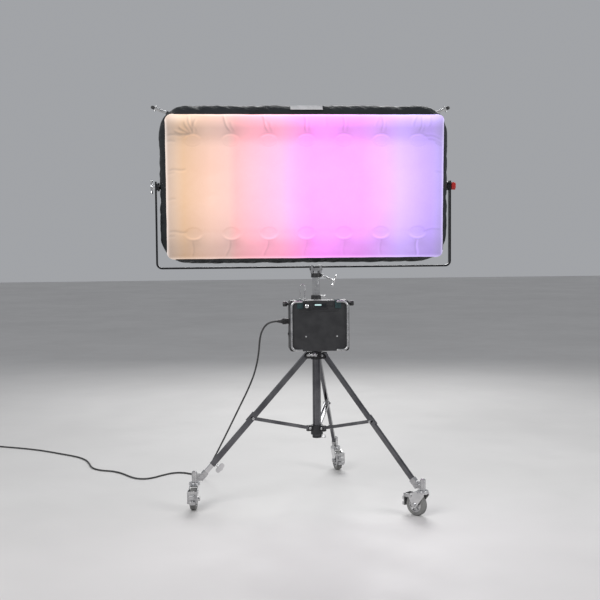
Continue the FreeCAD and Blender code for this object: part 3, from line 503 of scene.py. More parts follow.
def face_folds():
    """Creases of the lit cloth as (from x, z, to x, z, half width, depth, brightness)."""
    top, bottom = FACE_H / 2 - 0.004, -FACE_H / 2 + 0.004
    row = TUFT_PITCH_Z * (TUFT_ROWS - 1) / 2
    columns = [(i - (TUFT_COLUMNS - 1) / 2) * TUFT_PITCH_X for i in range(TUFT_COLUMNS)]
    lean_up = (-0.024, -0.042, -0.034, -0.012, -0.005, 0.006, 0.022)
    deep_up = (0.2, 0.24, 0.2, 0.16, 0.12, 0.12, 0.14)
    lean_down = (-0.004, -0.024, -0.022, -0.008, 0.004, 0.002, 0.0)
    deep_down = (0.1, 0.12, 0.11, 0.06, 0.05, 0.08, -0.24)
    folds = []
    for x, up, down, a, b in zip(columns, lean_up, lean_down, deep_up, deep_down):
        folds.append((x, row + 0.03, x + up, top, 0.0042, 0.0035, -a))
        folds.append((x, -row - 0.026, x + down, bottom, 0.0046, 0.002, -b))
        folds.append((x + 0.02, row + 0.034, x + 0.016 + up * 0.5, top - 0.03, 0.005, 0.0015,
                      -a * 0.4))
    left = columns[0]
    for dx, z, strength in ((-0.09, 0.03, 0.24), (-0.066, 0.052, 0.26), (-0.04, 0.078, 0.2),
                            (0.016, 0.094, 0.14)):
        folds.append((left - 0.008, row + 0.02, left + dx, row + 0.014 + z, 0.0048, 0.0035, -strength))
    edge = FACE_W / 2 - 0.003
    for side, z, reach, rise, strength in (
        (-1, 0.236, 0.085, 0.004, 0.16), (-1, 0.212, 0.05, -0.006, 0.12), (-1, 0.074, 0.1, 0.012, 0.14),
        (-1, 0.06, 0.045, 0.006, 0.09), (-1, -0.058, 0.05, 0.004, 0.08),
        (-1, -0.205, 0.1, 0.002, 0.14), (-1, -0.224, 0.04, -0.004, 0.08),
        (1, 0.216, 0.11, 0.026, 0.12), (1, 0.2, 0.085, 0.02, 0.13), (1, 0.19, 0.05, 0.01, 0.1),
        (1, 0.07, 0.05, -0.002, 0.06), (1, -0.196, 0.1, -0.012, 0.1),
    ):
        folds.append((side * edge, z, side * (edge - reach), z + rise, 0.005, 0.0025, -strength))
    for x, lean, strength in ((-0.52, 0.01, 0.08), (-0.2, -0.03, 0.07), (0.1, 0.01, 0.05),
                              (0.34, 0.012, 0.06), (0.52, 0.02, 0.12), (0.59, 0.02, 0.1)):
        folds.append((x, top, x - lean, top - 0.06, 0.005, 0.0015, -strength))
    return folds


def crumple(obj):
    """Presses the folds and the welded discs into the cloth, paints how it glows and paints a highlight
    along its rim.

    The light inside spreads outwards near the edges, so the cloth between the
    ties and the seams is darker, and so is the far side of every fold.
    """
    mesh = obj.data
    count = len(mesh.vertices)
    places = np.empty(count * 3, np.float32)
    mesh.vertices.foreach_get("co", places)
    places = places.reshape(-1, 3)
    x, z = places[:, 0].astype(float), places[:, 2].astype(float)
    from_top, from_foot = FACE_H / 2 - z, FACE_H / 2 + z
    from_side = FACE_W / 2 - np.abs(x)
    glow = np.interp(from_top, (0.0, 0.012, 0.035, 0.065, 0.095, 0.15, 0.27),
                     (1.08, 1.1, 0.87, 0.68, 0.71, 0.94, 1.0))
    glow *= np.interp(from_foot, (0.0, 0.02, 0.06, 0.1, 0.15, 0.27), (0.72, 0.62, 0.66, 0.78, 0.9, 1.0))
    glow *= 1 - 0.15 * smoothstep((0.06 - from_side) / 0.05)
    press = np.zeros(count)
    for x0, z0, x1, z1, half, depth, shade in face_folds():
        line = np.array((x1 - x0, z1 - z0))
        length = np.hypot(*line)
        along = ((x - x0) * line[0] + (z - z0) * line[1]) / length
        aside = ((x - x0) * line[1] - (z - z0) * line[0]) / length
        aside = aside + WANDER * np.sin(along * WANDER_WAVE + x0 * 40)
        taper = smoothstep(along / (0.25 * length)) * smoothstep((length - along) / (0.2 * length))
        taper *= (along > 0) & (along < length)
        crease = bell(aside, half)
        press += depth * taper * crease
        glint = FOLD_GLINT * bell(aside - 1.8 * half, half)
        glow *= 1 + FOLD_SHADE * shade * taper * (crease - glint)
    for tx, tz, strong in tuft_places():
        if not strong:
            continue
        outward = math.copysign(1, tz)
        away = np.hypot((x - tx) / TUFT_WIDE, (z - tz) / TUFT_TALL)
        toward = outward * (z - tz) / TUFT_TALL / np.maximum(away, 1e-6)
        press += DISC_PRESS * (1 - smoothstep((away - 0.75) / 0.45))
        upper, lower = np.clip(toward, 0, 1), np.clip(-toward, 0, 1)
        glow *= 1 + 0.4 * upper ** 1.5 * bell(away - 1.0, 0.14)
        glow *= 1 - 0.12 * upper ** 2 * bell(away - 1.34, 0.14)
        glow *= 1 + 0.1 * upper * (1 - smoothstep((away - 0.8) / 0.2)) * smoothstep(away / 0.7)
        beside = np.hypot((x - tx - 0.008) / 0.034, (z - tz - outward * 0.045) / 0.022)
        glow *= 1 - 0.15 * bell(beside, 1)
        glow *= 1 - 0.1 * lower * bell(away - 1.0, 0.1)
        glow *= 1 - 0.03 * (1 - smoothstep((away - 0.8) / 0.3))
    places[:, 1] += press
    mesh.vertices.foreach_set("co", places.ravel())
    # Painted highlight, kept in the "rim" attribute: strongest at the seam and at the slack top corners.
    rim = RIM_HIGHLIGHT * bell(np.minimum(from_side, np.minimum(from_top, from_foot)), 0.009)
    slack = SLACK_HIGHLIGHT * bell(np.abs(x) - 0.575, 0.075) * bell(from_top, 0.032)
    for name, values in (("glow", CLOTH_GLOW * glow), ("rim", np.maximum(rim, slack))):
        layer = mesh.attributes.new(name, "FLOAT", "POINT")
        layer.data.foreach_set("value", values.astype(np.float32))
    mesh.update()


def lit_face():
    """The white front cloth, blown up between its seam and its welded ties."""
    pitch = 0.0085
    columns, rows = round(FACE_W / pitch), round(FACE_H / pitch)
    half_w, half_h = FACE_W / 2, FACE_H / 2
    vertices, pinned = [], []
    for j in range(rows + 1):
        for i in range(columns + 1):
            x, z = corner_rounded(-half_w + FACE_W * i / columns, -half_h + FACE_H * j / rows,
                                  half_w, half_h, FACE_R)
            edge = min(half_w - abs(x), half_h - abs(z))
            rim = min(edge / 0.045, 1)
            y = SEAM_Y - 0.024 * math.sqrt(1 - (1 - rim) ** 2)
            hold = i in (0, columns) or j in (0, rows)
            for tx, tz, _ in tuft_places():
                hold = hold or math.hypot((x - tx) / TUFT_WIDE, (z - tz) / TUFT_TALL) < 0.6
            valley = math.exp(-((abs(z) - TUFT_PITCH_Z * 1.5) / 0.02) ** 2)
            y += 0.004 * valley * min(edge / 0.06, 1)
            y -= 0.0015 * noise.noise(Vector((x * 14, z * 14, 3)))
            if hold:
                pinned.append(len(vertices))
            vertices.append((x, y, z))
    cloth = mesh_object("lit_face", vertices, grid_faces(columns, rows))
    inflate(cloth, pinned, 0.5, 0.004, 16, 0.01)
    subdivide(cloth)
    crumple(cloth)
    skin(cloth, "lit_cloth")
    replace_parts(cloth, "front_diffuser")


def outline(count, half_w, top, low, corner):
    """Points round a rectangle with round corners, evenly spread in angle."""
    middle, half_h = (top - low) / 2, (top + low) / 2
    points = []
    for i in range(count):
        angle = 2 * math.pi * i / count
        square = 1 / max(abs(math.cos(angle)), abs(math.sin(angle)))
        x, z = math.cos(angle) * square * half_w, math.sin(angle) * square * half_h
        x, z = corner_rounded(x, z, half_w, half_h, corner)
        points.append(Vector((x, 0, z + middle)))
    return points


def side_wall():
    """The black inflated wall between the lit face and the back, gathered at its seams."""
    count, rings = 640, 18
    half_w, half_h = FACE_W / 2, FACE_H / 2
    front = outline(count, half_w - 0.003, half_h - 0.003, half_h - 0.003, FACE_R)
    widest = outline(count, WALL_HALF_W - 0.006, WALL_TOP - 0.005, WALL_LOW - 0.006, WALL_R)
    back = outline(count, half_w - 0.014, half_h - 0.014, half_h - 0.014, FACE_R)
    vertices, pinned = [], []
    for k in range(rings + 1):
        t = k / rings
        swell = math.sin(math.pi * t) ** 0.55
        depth = SEAM_Y + (BACK_Y - SEAM_Y) * t
        for i in range(count):
            seam = front[i].lerp(back[i], t)
            place = seam.lerp(widest[i], swell)
            place.y = depth
            slant = place + Vector((0.6 * depth, 0, 0.2 * depth))
            gather = noise.noise(Vector((slant.x * GATHER, depth * 5, slant.z * GATHER)))
            fine = noise.noise(Vector((slant.x * PUCKER, depth * 9, slant.z * PUCKER + 7)))
            near_seam = abs(1 - 2 * t)
            bump = 0.0042 * gather * (1 - 0.3 * near_seam) + 0.0022 * fine * (0.35 + near_seam)
            if k in (0, rings):
                pinned.append(len(vertices))
                bump = 0.001 * fine
            outward = Vector((place.x / half_w, 0, place.z / half_h)).normalized()
            vertices.append(place + outward * bump)
    faces = [(k * count + i, (k + 1) * count + i, (k + 1) * count + (i + 1) % count,
              k * count + (i + 1) % count) for k in range(rings) for i in range(count)]
    wall = mesh_object("side_wall", vertices, faces)
    inflate(wall, pinned, 0.6, 0.015, 12, 0.006)
    subdivide(wall)
    skin(wall, "black_nylon")
    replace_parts(wall, "side_bladder")


def seam_piping():
    """Thin welt that joins the white cloth to the black wall."""
    for name, inset, depth, radius in (("seam_welt", 0.001, SEAM_Y - 0.001, 0.002),
                                       ("back_welt", 0.014, BACK_Y + 0.001, 0.0025)):
        half_w, half_h = FACE_W / 2 - inset, FACE_H / 2 - inset
        ring = [HEAD_PLACE @ (p + Y * depth) for p in outline(220, half_w, half_h, half_h, FACE_R)]
        rod(name, ring, radius, "head", "webbing", cyclic=True)


def tuft_tapes():
    """Welded discs just behind the lit cloth, with a strap each to the mat."""
    bm = bmesh.new()
    for x, z, strong in tuft_places():
        front = FACE_Y + (0.024 if strong else 0.02)
        lathe_into(bm, Vector((x, front, z)), Y, [(0.02, 0), (0.022, 0.0006), (0.022, 0.0014)], 24)
        block_into(bm, (x - 0.012, front + 0.001, z - 0.0008),
                   (x + 0.012, BACK_Y - 0.004, z + 0.0008), 0.0003)
    tapes = made_on_head("tuft_tapes", bm, "tuft_tape")
    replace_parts(tapes, "tuft_ties")


def rear_cloth():
    """The back cloth: slack between its rows of stitching."""
    pitch = 0.013
    width, height = FACE_W - 0.03, FACE_H - 0.03
    columns, rows = round(width / pitch), round(height / pitch)
    vertices = []
    for j in range(rows + 1):
        for i in range(columns + 1):
            x, z = corner_rounded(-width / 2 + width * i / columns, -height / 2 + height * j / rows,
                                  width / 2, height / 2, 0.03)
            edge = min(width / 2 - abs(x), height / 2 - abs(z))
            swell = 0.006 * min(edge / 0.06, 1) ** 0.5
            channel = 0.004 * math.exp(-(min(abs(abs(x) - 0.22), abs(abs(z) - 0.2)) / 0.006) ** 2)
            fold = 0.0022 * noise.noise(Vector((x * 9, 5, z * 9)))
            vertices.append((x, BACK_Y + 0.001 + swell - channel + fold * min(edge / 0.03, 1), z))
    faces = [(a, d, c, b) for a, b, c, d in grid_faces(columns, rows)]
    cloth = mesh_object("rear_cloth", vertices, faces)
    thick = cloth.modifiers.new("thick", "SOLIDIFY")
    thick.thickness = 0.0025
    subdivide(cloth)
    skin(cloth, "black_nylon")
    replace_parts(cloth, "rear_cover")


def head_trim():
    """Blank label, patches, the pad behind the hub and the hanging tabs."""
    bm = bmesh.new()
    block_into(bm, (-0.085, -0.0015, -0.0125), (0.065, 0.0, 0.0125), 0.0006)
    label = from_bmesh("blank_label", bm)
    label.data.transform(turned((0.015, SEAM_Y + 0.018, FACE_H / 2 + 0.03), -38, "X"))
    finish_piece(on_head(label), "head", "label_grey")
    bm = bmesh.new()
    for x, z in ((-0.46, 0.2), (0.46, 0.2), (-0.46, -0.2), (0.46, -0.2)):
        block_into(bm, (x - 0.045, BACK_Y + 0.006, z - 0.03), (x + 0.045, BACK_Y + 0.0095, z + 0.03), 0.001)
    block_into(bm, (-0.16, BACK_Y + 0.004, -0.19), (0.16, 0.0845, 0.19), 0.003)
    made_on_head("back_patches", bm, "webbing")
    bm = bmesh.new()
    for side in (-1, 1):
        block_into(bm, (side * 0.3 - 0.02, BACK_Y - 0.01, FACE_H / 2 - 0.03),
                   (side * 0.3 + 0.02, BACK_Y + 0.012, FACE_H / 2 - 0.002), 0.002)
    made_on_head("hanging_tabs", bm, "webbing")


ARM_Y, HUB_REAR, PAD_REAR = 0.124, 0.117, 0.0846
STITCH, STITCH_PITCH = [(0.0003, 0), (0.0008, 0.0012), (0.0008, 0.0068), (0.0003, 0.008)], 0.012


def frame_details():
    """Rod sockets, hub boss and bolts, crossbar saddles, corner sleeves, rod caps and stitches."""
    metal, cloth, caps = bmesh.new(), bmesh.new(), bmesh.new()
    for side in (-1, 1):
        for up, tip in ((1, (0.712, 0.376)), (-1, (0.612, 0.318))):
            root = Vector((side * 0.09, ARM_Y, up * 0.125))
            end = Vector((side * tip[0], ARM_Y, up * tip[1]))
            along = (end - root).normalized()
            lathe_into(metal, root - along * 0.02, along, [
                (0.0068, 0), (0.0115, 0.001), (0.0115, 0.012), (0.0098, 0.014), (0.0098, 0.04),
                (0.011, 0.042), (0.011, 0.05), (0.0068, 0.052)], 28, ring=True)
            lathe_into(metal, root + along * 0.004 + Y * 0.0095, Y, domed(0.004, 0.0032), 20)
            lathe_into(caps, end - along * 0.01, along, [
                (0.0072, 0), (0.0084, 0.002), (0.0084, 0.012), (0.0074, 0.0165), (0.004, 0.019)], 24)
            turn = Matrix.Rotation(-math.atan2(along.z, along.x), 4, "Y")
            for part in (0.52, 0.86):
                place = Matrix.Translation(root.lerp(end, part)) @ turn
                block_into(cloth, (-0.026, -0.0092, -0.0094), (0.026, 0.0092, 0.0094), 0.003, place)
                block_into(cloth, (-0.022, -0.039, -0.003), (0.022, -0.008, 0.003), 0.001, place)
        for up in (-1, 1):
            lathe_into(metal, Vector((side * 0.05, HUB_REAR, up * 0.085)), Y, domed(0.0075, 0.0048), 24)
            lathe_into(metal, Vector((side * 0.098, HUB_REAR, up * 0.02)), Y, domed(0.006, 0.004), 24)
            lathe_into(metal, Vector((side * 0.6895, 0.0965, up * 0.013)), X * side,
                       domed(0.005, 0.0028), 20)
    lathe_into(metal, Vector((0, HUB_REAR, 0)), Y, [
        (0.046, -0.001), (0.046, 0.0035), (0.042, 0.0055), (0.024, 0.0055),
        (0.022, 0.004), (0.012, 0.004), (0.01, 0.009), (0.002, 0.01)], 56)
    made_on_head("frame_hardware", metal, "zinc")
    for x in (-0.42, 0.42):
        block_into(cloth, (x - 0.024, BACK_Y + 0.004, -0.015), (x + 0.024, 0.1115, 0.015), 0.003)
    made_on_head("frame_sleeves", cloth, "webbing")
    made_on_head("rod_caps", caps, "plastic")
    threads = bmesh.new()
    for half_w, half_h in ((0.15, 0.18), (0.143, 0.173)):
        for i in range(round(2 * half_w / STITCH_PITCH)):
            for up in (-1, 1):
                start = Vector((-half_w + STITCH_PITCH * i, PAD_REAR, up * half_h))
                lathe_into(threads, start, X, STITCH, 6)
        for i in range(round(2 * half_h / STITCH_PITCH)):
            for side in (-1, 1):
                start = Vector((side * half_w, PAD_REAR, -half_h + STITCH_PITCH * i))
                lathe_into(threads, start, Z, STITCH, 6)
    made_on_head("stitches", threads, "label_grey")


def air_valve():
    """Screw valve with a ridged cap and its tether."""
    at = Vector((0.43, BACK_Y + 0.004, -0.21))
    bm = bmesh.new()
    lathe_into(bm, at, Y, [
        (0.024, 0), (0.024, 0.003), (0.0225, 0.005), (0.0165, 0.0056), (0.016, 0.0075),
        (0.0135, 0.008), (0.0135, 0.0095), (0.015, 0.01), (0.015, 0.0148),
        (0.0138, 0.016), (0.007, 0.016), (0.006, 0.015), (0.001, 0.015)], 48)
    for i in range(20):
        block_into(bm, (0.0146, 0.0104, -0.0008), (0.0157, 0.0144, 0.0008), 0.0003,
                   turned(at, 18 * i, "Y"))
    block_into(bm, at + Vector((-0.034, 0.0035, -0.003)), at + Vector((-0.014, 0.0052, 0.003)), 0.0006)
    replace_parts(made_on_head("screw_valve", bm, "plastic"), "air_valve")


lit_face()
side_wall()
seam_piping()
tuft_tapes()
rear_cloth()
head_trim()

# ----- small hardware
def domed(radius, height):
    """Profile of a round-headed bolt."""
    return [(radius, 0), (radius, 0.35 * height), (0.88 * radius, 0.7 * height),
            (0.5 * radius, 0.94 * height), (0.05 * radius, height)]


def hexagonal(radius, height):
    return [(0.93 * radius, 0), (radius, 0.1 * height), (radius, 0.85 * height), (0.9 * radius, height)]


def t_handle(name, joint, bar, reach, half, depth, boss=0.0085, shank=0.004):
    """Clamp screw with a collar, a necked stem and a grip bar with rounded knobs."""
    seat, out = Vector(JOINTS[joint]["pos_m"]), Vector(JOINTS[joint]["axis"]).normalized()
    along = Vector(bar).normalized()
    bm = bmesh.new()
    lathe_into(bm, seat, out, [
        (shank, -depth), (shank, 0.0004), (boss, 0.0006), (boss, 0.0045), (boss * 0.8, 0.0062),
        (0.005, 0.0095), (0.0042, 0.013), (0.0042, reach - 0.008), (0.0056, reach - 0.005),
        (0.0056, reach),
    ], 28)
    end = half + 0.0058
    side = [(0.001, end), (0.004, end - 0.001), (0.006, end - 0.0038), (0.0062, end - 0.0065),
            (0.0054, end - 0.0095), (0.0042, end - 0.012), (0.0042, 0.006), (0.005, 0.004)]
    profile = [(r, -h) for r, h in side] + [(r, h) for r, h in reversed(side)]
    lathe_into(bm, seat + out * reach, along, profile, 24)
    return made(name, bm, JOINTS[joint]["child"], "bright_chrome", "bright_chrome")


def clamp_handles():
    """Detailed T handles in place of the plain ones: bar direction, reach, half bar, thread depth."""
    across = Vector(JOINTS["collar_handle_turn"]["axis"]).cross(Z)
    for node_name, joint, bar, reach, half, depth in (
        ("column_handle", "column_handle_turn", (0.866, -0.5, 0), 0.03, 0.02, 0.011),
        ("collar_handle", "collar_handle_turn", across, 0.036, 0.017, 0.005),
        ("receiver_handle", "receiver_handle_turn", (0.37, -0.06, 0.927), 0.063, 0.024, 0.012),
        ("box_clamp_handle", "clamp_handle_turn", Z, 0.036, 0.02, 0.009),
    ):
        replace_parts(t_handle(node_name + "_turned", joint, bar, reach, half, depth), node_name)
    tilt = t_handle("tilt_handle_turned", "tilt_handle_turn", Z, 0.0135, 0.028, 0.019,
                    boss=0.016, shank=0.006)
    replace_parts(tilt, "tilt_handle")


def bolts(name, places, radius, height, body, slot, material, hexed=False):
    bm = bmesh.new()
    for place, direction in places:
        profile = hexagonal(radius, height) if hexed else domed(radius, height)
        lathe_into(bm, Vector(place), Vector(direction), profile, 6 if hexed else 24)
    return made(name, bm, body, slot, material)


LEG_AZIMUTHS = {"right": -45.0, "rear": 75.0, "left": 195.0}
TRAIL_AZIMUTHS = {"right": 129.0, "rear": -80.0, "left": -96.0}
STEM_RADIUS, RACE_LOW, SPOKE_OFF, RIB_OFF = 0.607, 0.105, 0.0098, 0.0045
# Radius and height of each pin, and how far its heads are from the leg's middle plane.
HUB_PIN, COLLAR_PIN, BRACE_PIN = (0.04, 0.333), (0.05, 0.685), (0.3251, 0.3982)
HUB_PIN_END, COLLAR_PIN_END, BRACE_PIN_END, AXLE_END = 0.0159, 0.0174, 0.0165, 0.0235


def both_ends(middle, direction, reach):
    """The two places of a pin's heads, each with the way it faces."""
    return [(middle + direction * sign * reach, direction * sign) for sign in (-1, 1)]


def wheel_axle(name):
    spin = JOINTS[f"{name}_wheel_spin"]
    return Vector(spin["pos_m"]), Vector(spin["axis"])


def stand_bolts():
    """Domed heads on the hinge pins and the brace bolts, and the nuts of the axles."""
    hub, collar = [], []
    for name, azimuth in LEG_AZIMUTHS.items():
        side = polar(azimuth + 90, 1, 0)
        hub += both_ends(polar(azimuth, *HUB_PIN), side, HUB_PIN_END)
        collar += both_ends(polar(azimuth, *COLLAR_PIN), side, COLLAR_PIN_END)
        ends = both_ends(polar(azimuth, *BRACE_PIN), side, BRACE_PIN_END)
        bolts(f"brace_bolts_{name}", ends, 0.0066, 0.003, f"{name}_brace", "dark_chrome", "zinc")
        nuts = both_ends(*wheel_axle(name), AXLE_END)
        bolts(f"axle_nuts_{name}", nuts, 0.0095, 0.005, f"{name}_caster", "bright_chrome", "zinc", True)
    bolts("hub_pin_heads", hub, 0.0064, 0.0022, "stand", "black_casting", "zinc")
    bolts("collar_pin_heads", collar, 0.0064, 0.0022, "collar", "black_casting", "zinc")


def caster_details():
    """Wheel spokes, tyre ribs, swivel race and the grips of the brake pedal."""
    for name, azimuth in LEG_AZIMUTHS.items():
        axle, lateral = wheel_axle(name)
        turn = lateral.to_track_quat("Z", "Y").to_matrix().to_4x4()
        bm = bmesh.new()
        for sign in (-1, 1):
            side = Matrix.Translation(axle + lateral * sign * SPOKE_OFF) @ turn
            for i in range(6):
                place = side @ Matrix.Rotation(math.radians(60 * i), 4, "Z")
                block_into(bm, (0.0115, -0.0022, -0.0026), (0.0292, 0.0022, 0.0026), 0.0008, place)
        made(f"wheel_spokes_{name}", bm, f"{name}_wheel", "bright_zinc", "zinc")
        bm = bmesh.new()
        for sign in (-1, 1):
            groove = [(0.0493, -0.0008), (0.0503, -0.0005), (0.0503, 0.0005), (0.0493, 0.0008)]
            lathe_into(bm, axle + lateral * sign * RIB_OFF, lateral, groove, 64, ring=True)
        made(f"tyre_ribs_{name}", bm, f"{name}_wheel", "tyre_rubber", "tyre_rubber")
        stem = polar(azimuth, STEM_RADIUS, 0)
        bm = bmesh.new()
        lathe_into(bm, stem + Z * RACE_LOW, Z, [
            (0.0245, 0), (0.0262, 0.0015), (0.0262, 0.0045), (0.025, 0.006), (0.025, 0.0075),
            (0.0262, 0.009), (0.0258, 0.0115), (0.015, 0.0135)])
        made(f"swivel_race_{name}", bm, f"{name}_caster", "bright_chrome", "bright_chrome")
        place = turned(stem, TRAIL_AZIMUTHS[name], "Z")
        bm = bmesh.new()
        for low in (0.064, 0.038):
            for i in range(4):
                x = 0.0945 + 0.0036 * i
                block_into(bm, (x, -0.012, low + 0.0135), (x + 0.0018, 0.012, low + 0.015), 0.0005, place)
        made(f"pedal_grips_{name}", bm, f"{name}_pedal", "bright_zinc", "zinc")


BOX_X, BOX_HALF, BOX_HIGH = -0.005, 0.137, 0.956
BOX_FACE, BOX_BACK, BOX_SHELL, STRAP_HALF = -0.206, -0.112, -0.2035, 0.014
BAIL_Y, BAIL_LEFT, BAIL_RIGHT, BAIL_TOP = -0.15, -0.088, -0.067, 1.025
FERRULE = [(0.002, 0), (0.0042, 0.001), (0.0042, 0.0065), (0.002, 0.0075)]


def plate_into(bm, left, right, low, high, out, bevel=0.0006, back=BOX_SHELL):
    """A plate standing out from the front of the box."""
    block_into(bm, (left, BOX_FACE - out, low), (right, back, high), bevel)


def box_details():
    """Display, keys, dial cap, screws, straps, side knobs, louvres, cooling ribs and bail of the box."""
    bm = bmesh.new()
    plate_into(bm, -0.03, 0.028, 0.9215, 0.9435, 0.0004)
    made("display_glass", bm, "stand", "box_black", "glass_black")
    bm = bmesh.new()
    plate_into(bm, -0.026, 0.004, 0.933, 0.9395, 0.0008, 0.0003, BOX_FACE - 0.0001)
    made("display_bar", bm, "stand", "box_black", "display_glow")
    bm = bmesh.new()
    for sides in ((-0.034, 0.032, 0.918, 0.9215), (-0.034, 0.032, 0.943, 0.9455),
                  (-0.034, -0.0298, 0.918, 0.9455), (0.0278, 0.032, 0.918, 0.9455)):
        plate_into(bm, *sides, 0.0012)
    for x in (0.042, 0.055, 0.068):
        plate_into(bm, x, x + 0.009, 0.927, 0.936, 0.001, 0.001)
    plate_into(bm, -0.095, 0.085, 0.9045, 0.9075, 0.0014, back=BOX_FACE + 0.001)
    made("panel_trim", bm, "stand", "box_black", "plastic")
    dial = Vector(JOINTS["dial_turn"]["pos_m"])
    cap = bmesh.new()
    lathe_into(cap, dial - Y * 0.0155, -Y, [
        (0.0088, 0), (0.0088, 0.0008), (0.0078, 0.0016), (0.0052, 0.0026), (0.0022, 0.0031)])
    made("dial_cap", cap, "dial", "valve_plastic", "bright_chrome")
    grip = bmesh.new()
    for i in range(24):
        block_into(grip, (0.0106, -0.006, -0.0006), (0.0115, 0.006, 0.0006), 0.0003,
                   turned(dial - Y * 0.009, 15 * i, "Y"))
    made("dial_ribs", grip, "dial", "valve_plastic", "plastic")
    heads = [((x, BOX_FACE, 0.792), -Y) for x in (-0.067, 0.076)]
    bolts("cover_screws", heads, 0.0042, 0.0022, "stand", "box_black", "bright_chrome")
    bm = bmesh.new()
    for x in (-0.094, 0.081):
        left, right = x - STRAP_HALF, x + STRAP_HALF
        plate_into(bm, left, right, 0.92, BOX_HIGH, 0.002, back=BOX_FACE - 0.0002)
        plate_into(bm, left, right, BOX_HIGH - 0.0002, BOX_HIGH + 0.0018, 0.0018, back=-0.118)
    made("top_straps", bm, "stand", "box_black", "teal_strap")
    bm = bmesh.new()
    for side in (-1, 1):
        base = Vector((BOX_X + side * BOX_HALF, -0.158, 0.939))
        lathe_into(bm, base, X * side, [
            (0.006, -0.001), (0.006, 0.008), (0.0105, 0.009), (0.0118, 0.012),
            (0.0118, 0.024), (0.01, 0.0275), (0.004, 0.0285)], 16)
    made("side_knobs", bm, "stand", "box_black", "plastic")
    bm = bmesh.new()
    wall = BOX_X + BOX_HALF
    for i in range(9):
        z = 0.765 + 0.011 * i
        block_into(bm, (wall - 0.0005, -0.188, z), (wall + 0.002, -0.124, z + 0.0045), 0.0009)
    for side in (-1, 1):
        for i in range(7):
            x = BOX_X + side * (0.07 + 0.0095 * i)
            block_into(bm, (x - 0.0014, BOX_BACK - 0.0005, 0.745),
                       (x + 0.0014, BOX_BACK + 0.0085, 0.935), 0.0007)
    made("louvres_and_ribs", bm, "stand", "box_black", "powder_coat")
    rise = [(BAIL_LEFT, 0.952), (BAIL_LEFT, 0.98), (BAIL_LEFT, BAIL_TOP - 0.01),
            (BAIL_LEFT + 0.003, BAIL_TOP)]
    fall = [(BAIL_RIGHT + BAIL_LEFT - x, z) for x, z in reversed(rise)]
    crown = [((BAIL_LEFT + BAIL_RIGHT) / 2, BAIL_TOP + 0.002)]
    rod("bail", [(x, BAIL_Y, z) for x, z in rise + crown + fall], 0.0022, "stand", "zinc")
    bm = bmesh.new()
    for x, z in ((BAIL_RIGHT, 0.956), (BAIL_RIGHT, 0.993), (BAIL_LEFT, 0.956)):
        lathe_into(bm, Vector((x, BAIL_Y, z)), Z, FERRULE, 20, ring=True)
    made("bail_ferrules", bm, "stand", "bright_zinc", "bright_chrome")


def mast_details():
    """Hub clamp screw, hub foot screw, tube end rings and the yoke bracket's bolts."""
    for name, azimuth, height, base, reach, half in (
        ("hub_screw", 15, 0.33, 0.027, 0.04, 0.015), ("foot_screw", -20, 0.2895, 0.02, 0.02, 0.008),
    ):
        out = polar(azimuth, 1, 0)
        seat = polar(azimuth, base, height)
        bm = bmesh.new()
        lathe_into(bm, seat, out, [
            (0.0048, 0), (0.007, 0.004), (0.007, 0.007), (0.004, 0.01), (0.0036, reach)], 20)
        bar = [(0.001, -half), (0.004, -half + 0.002), (0.0044, -half + 0.005), (0.0032, -half + 0.008),
               (0.0032, half - 0.008), (0.0044, half - 0.005), (0.004, half - 0.002), (0.001, half)]
        lathe_into(bm, seat + out * reach, Z if half < 0.01 else polar(azimuth + 90, 1, 0.5), bar, 20)
        made(name, bm, "stand", "black_casting", "bright_chrome")
    for name, height, inner, outer, body in (
        ("column_head_lip", 0.9675, 0.018, 0.0236, "stand"),
        ("leg_collar_lip", 0.6995, 0.0204, 0.0262, "collar"),
    ):
        bm = bmesh.new()
        lathe_into(bm, Z * height, Z, [
            (inner, 0), (outer, 0.0002), (outer, 0.0013), (outer - 0.0011, 0.0023),
            (inner + 0.0003, 0.0025)], 48, ring=True)
        made(name, bm, body, "black_casting", "plastic")
    ends = [((side * 0.0255, y, 1.0925), X * side) for side in (-1, 1) for y in (-0.0115, 0.0115)]
    bolts("bracket_bolts", ends, 0.0056, 0.0042, "yoke", "bright_zinc", "bright_chrome", hexed=True)


def connector_details():
    """Locking ring, finger ribs and tail rings of the lead's connector, the inlet's screws and the rocker's
    frame.
    """
    at = Vector((-0.154, -0.15, 0.859))
    bm = bmesh.new()
    for i in range(18):
        block_into(bm, (-0.016, -0.001, 0.0131), (-0.003, 0.001, 0.0142), 0.0004,
                   turned(at, 20 * i, "X"))
    lathe_into(bm, at, -X, [
        (0.0126, -0.0015), (0.0146, -0.001), (0.0146, 0.0012), (0.013, 0.002)], 36, ring=True)
    for i in range(5):
        inner, outer = 0.007 - 0.0006 * i, 0.009 - 0.0007 * i
        lathe_into(bm, at - X * (0.0245 + 0.0036 * i), -X, [
            (inner, 0), (outer, 0.0004), (outer, 0.0016), (inner, 0.002)], 24, ring=True)
    made("connector_ribs", bm, "stand", "valve_plastic", "plastic")
    bm = bmesh.new()
    wall = BOX_X - BOX_HALF
    for low, high in (((-0.159, 0.7845), (-0.141, 0.787)), ((-0.159, 0.813), (-0.141, 0.8155)),
                      ((-0.159, 0.7845), (-0.1567, 0.8155)), ((-0.1433, 0.7845), (-0.141, 0.8155))):
        block_into(bm, (wall - 0.0012, low[0], low[1]), (wall + 0.0004, high[0], high[1]), 0.0004)
    made("rocker_frame", bm, "stand", "box_black", "plastic")
    screws = [((wall - 0.0024, y, z), -X) for y in (-0.1605, -0.1395) for z in (0.8465, 0.8715)]
    bolts("inlet_screws", screws, 0.002, 0.0011, "stand", "valve_plastic", "zinc")


clamp_handles()
stand_bolts()
caster_details()
box_details()
mast_details()
connector_details()
frame_details()
air_valve()

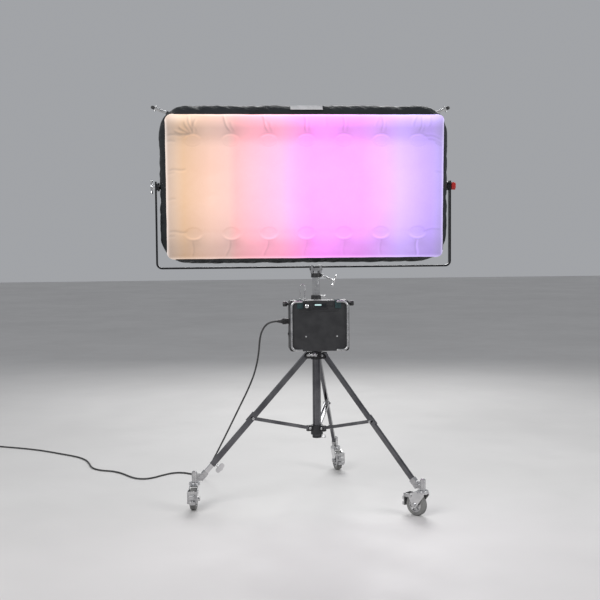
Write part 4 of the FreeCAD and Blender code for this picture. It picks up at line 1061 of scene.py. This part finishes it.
# ----- materials of the CAD parts
# Each look, and how the names of its nodes start; the first that fits is used.
CAD_LOOKS = {
    "bright_chrome": ("yoke_spigot", "tilt_handle", "column_handle", "riser_tube", "receiver_handle",
                      "collar_handle", "levelling_", "box_clamp_handle", "fork_"),
    "zinc": ("frame_arms", "yoke_bracket", "box_guards", "caster_socket_", "wheel_", "pedal_"),
    "anodised": ("frame_hub", "pivot_", "yoke_bar"),
    "dark_chrome": ("outer_column", "leg_right", "leg_rear", "leg_left", "brace_"),
    "powder_coat": ("column_head", "lower_hub", "top_receiver", "leg_collar", "box_"),
    "plastic": ("air_valve", "menu_dial", "power_switch", "power_inlet", "power_connector"),
    "rubber": ("power_cord", "cord_coil", "plug"),
    "mat_cloth": ("led_mat",),
    "led_tape": ("led_strips",),
    "red_plastic": ("tilt_knob",),
    "tyre_rubber": ("tyre_",),
    "lit_cloth": ("front_diffuser",),
    "tuft_tape": ("tuft_ties",),
    "black_nylon": ("side_bladder", "rear_cover"),
}
for node_name, node in NODES.items():
    look = next(look for look, starts in CAD_LOOKS.items() if node_name.startswith(starts))
    node.data.materials.clear()
    node.data.materials.append(MATERIALS[look])


# ----- floor and light
FLOOR_HALF, LIGHT_AIM = 24, Vector((0, 0, 0.9))


def make_stage():
    """A plain pale floor, a soft grey surround and three soft lights."""
    corners = [(-1, -1), (1, -1), (1, 1), (-1, 1)]
    floor = mesh_object("floor", [(FLOOR_HALF * x, FLOOR_HALF * y, 0) for x, y in corners], [(0, 1, 2, 3)])
    floor.data.materials.append(surface(
        "floor", (0.6, 0.59, 0.58), (0.66, 0.65, 0.64), (0.45, 0.6), patch=0.8, grain=60.0))
    world = bpy.data.worlds.new("studio")
    world.use_nodes = True
    sockets(world.node_tree.nodes["Background"], {"Color": (0.8, 0.82, 0.86, 1), "Strength": 0.45})
    bpy.context.scene.world = world
    for name, place, size, power in (
        ("key", (-2.6, -3.2, 3.6), 2.4, 120), ("fill", (3.2, -2.2, 2.2), 2.0, 55),
        ("back", (0.5, 3.4, 3.2), 2.4, 110),
    ):
        data = bpy.data.lights.new(name, "AREA")
        data.size, data.energy = size, power
        light = linked(name, data)
        light.location = place
        light.rotation_mode = "QUATERNION"
        light.rotation_quaternion = (LIGHT_AIM - Vector(place)).to_track_quat("-Z", "Y")
    bpy.context.scene.view_settings.view_transform = "Standard"


make_stage()
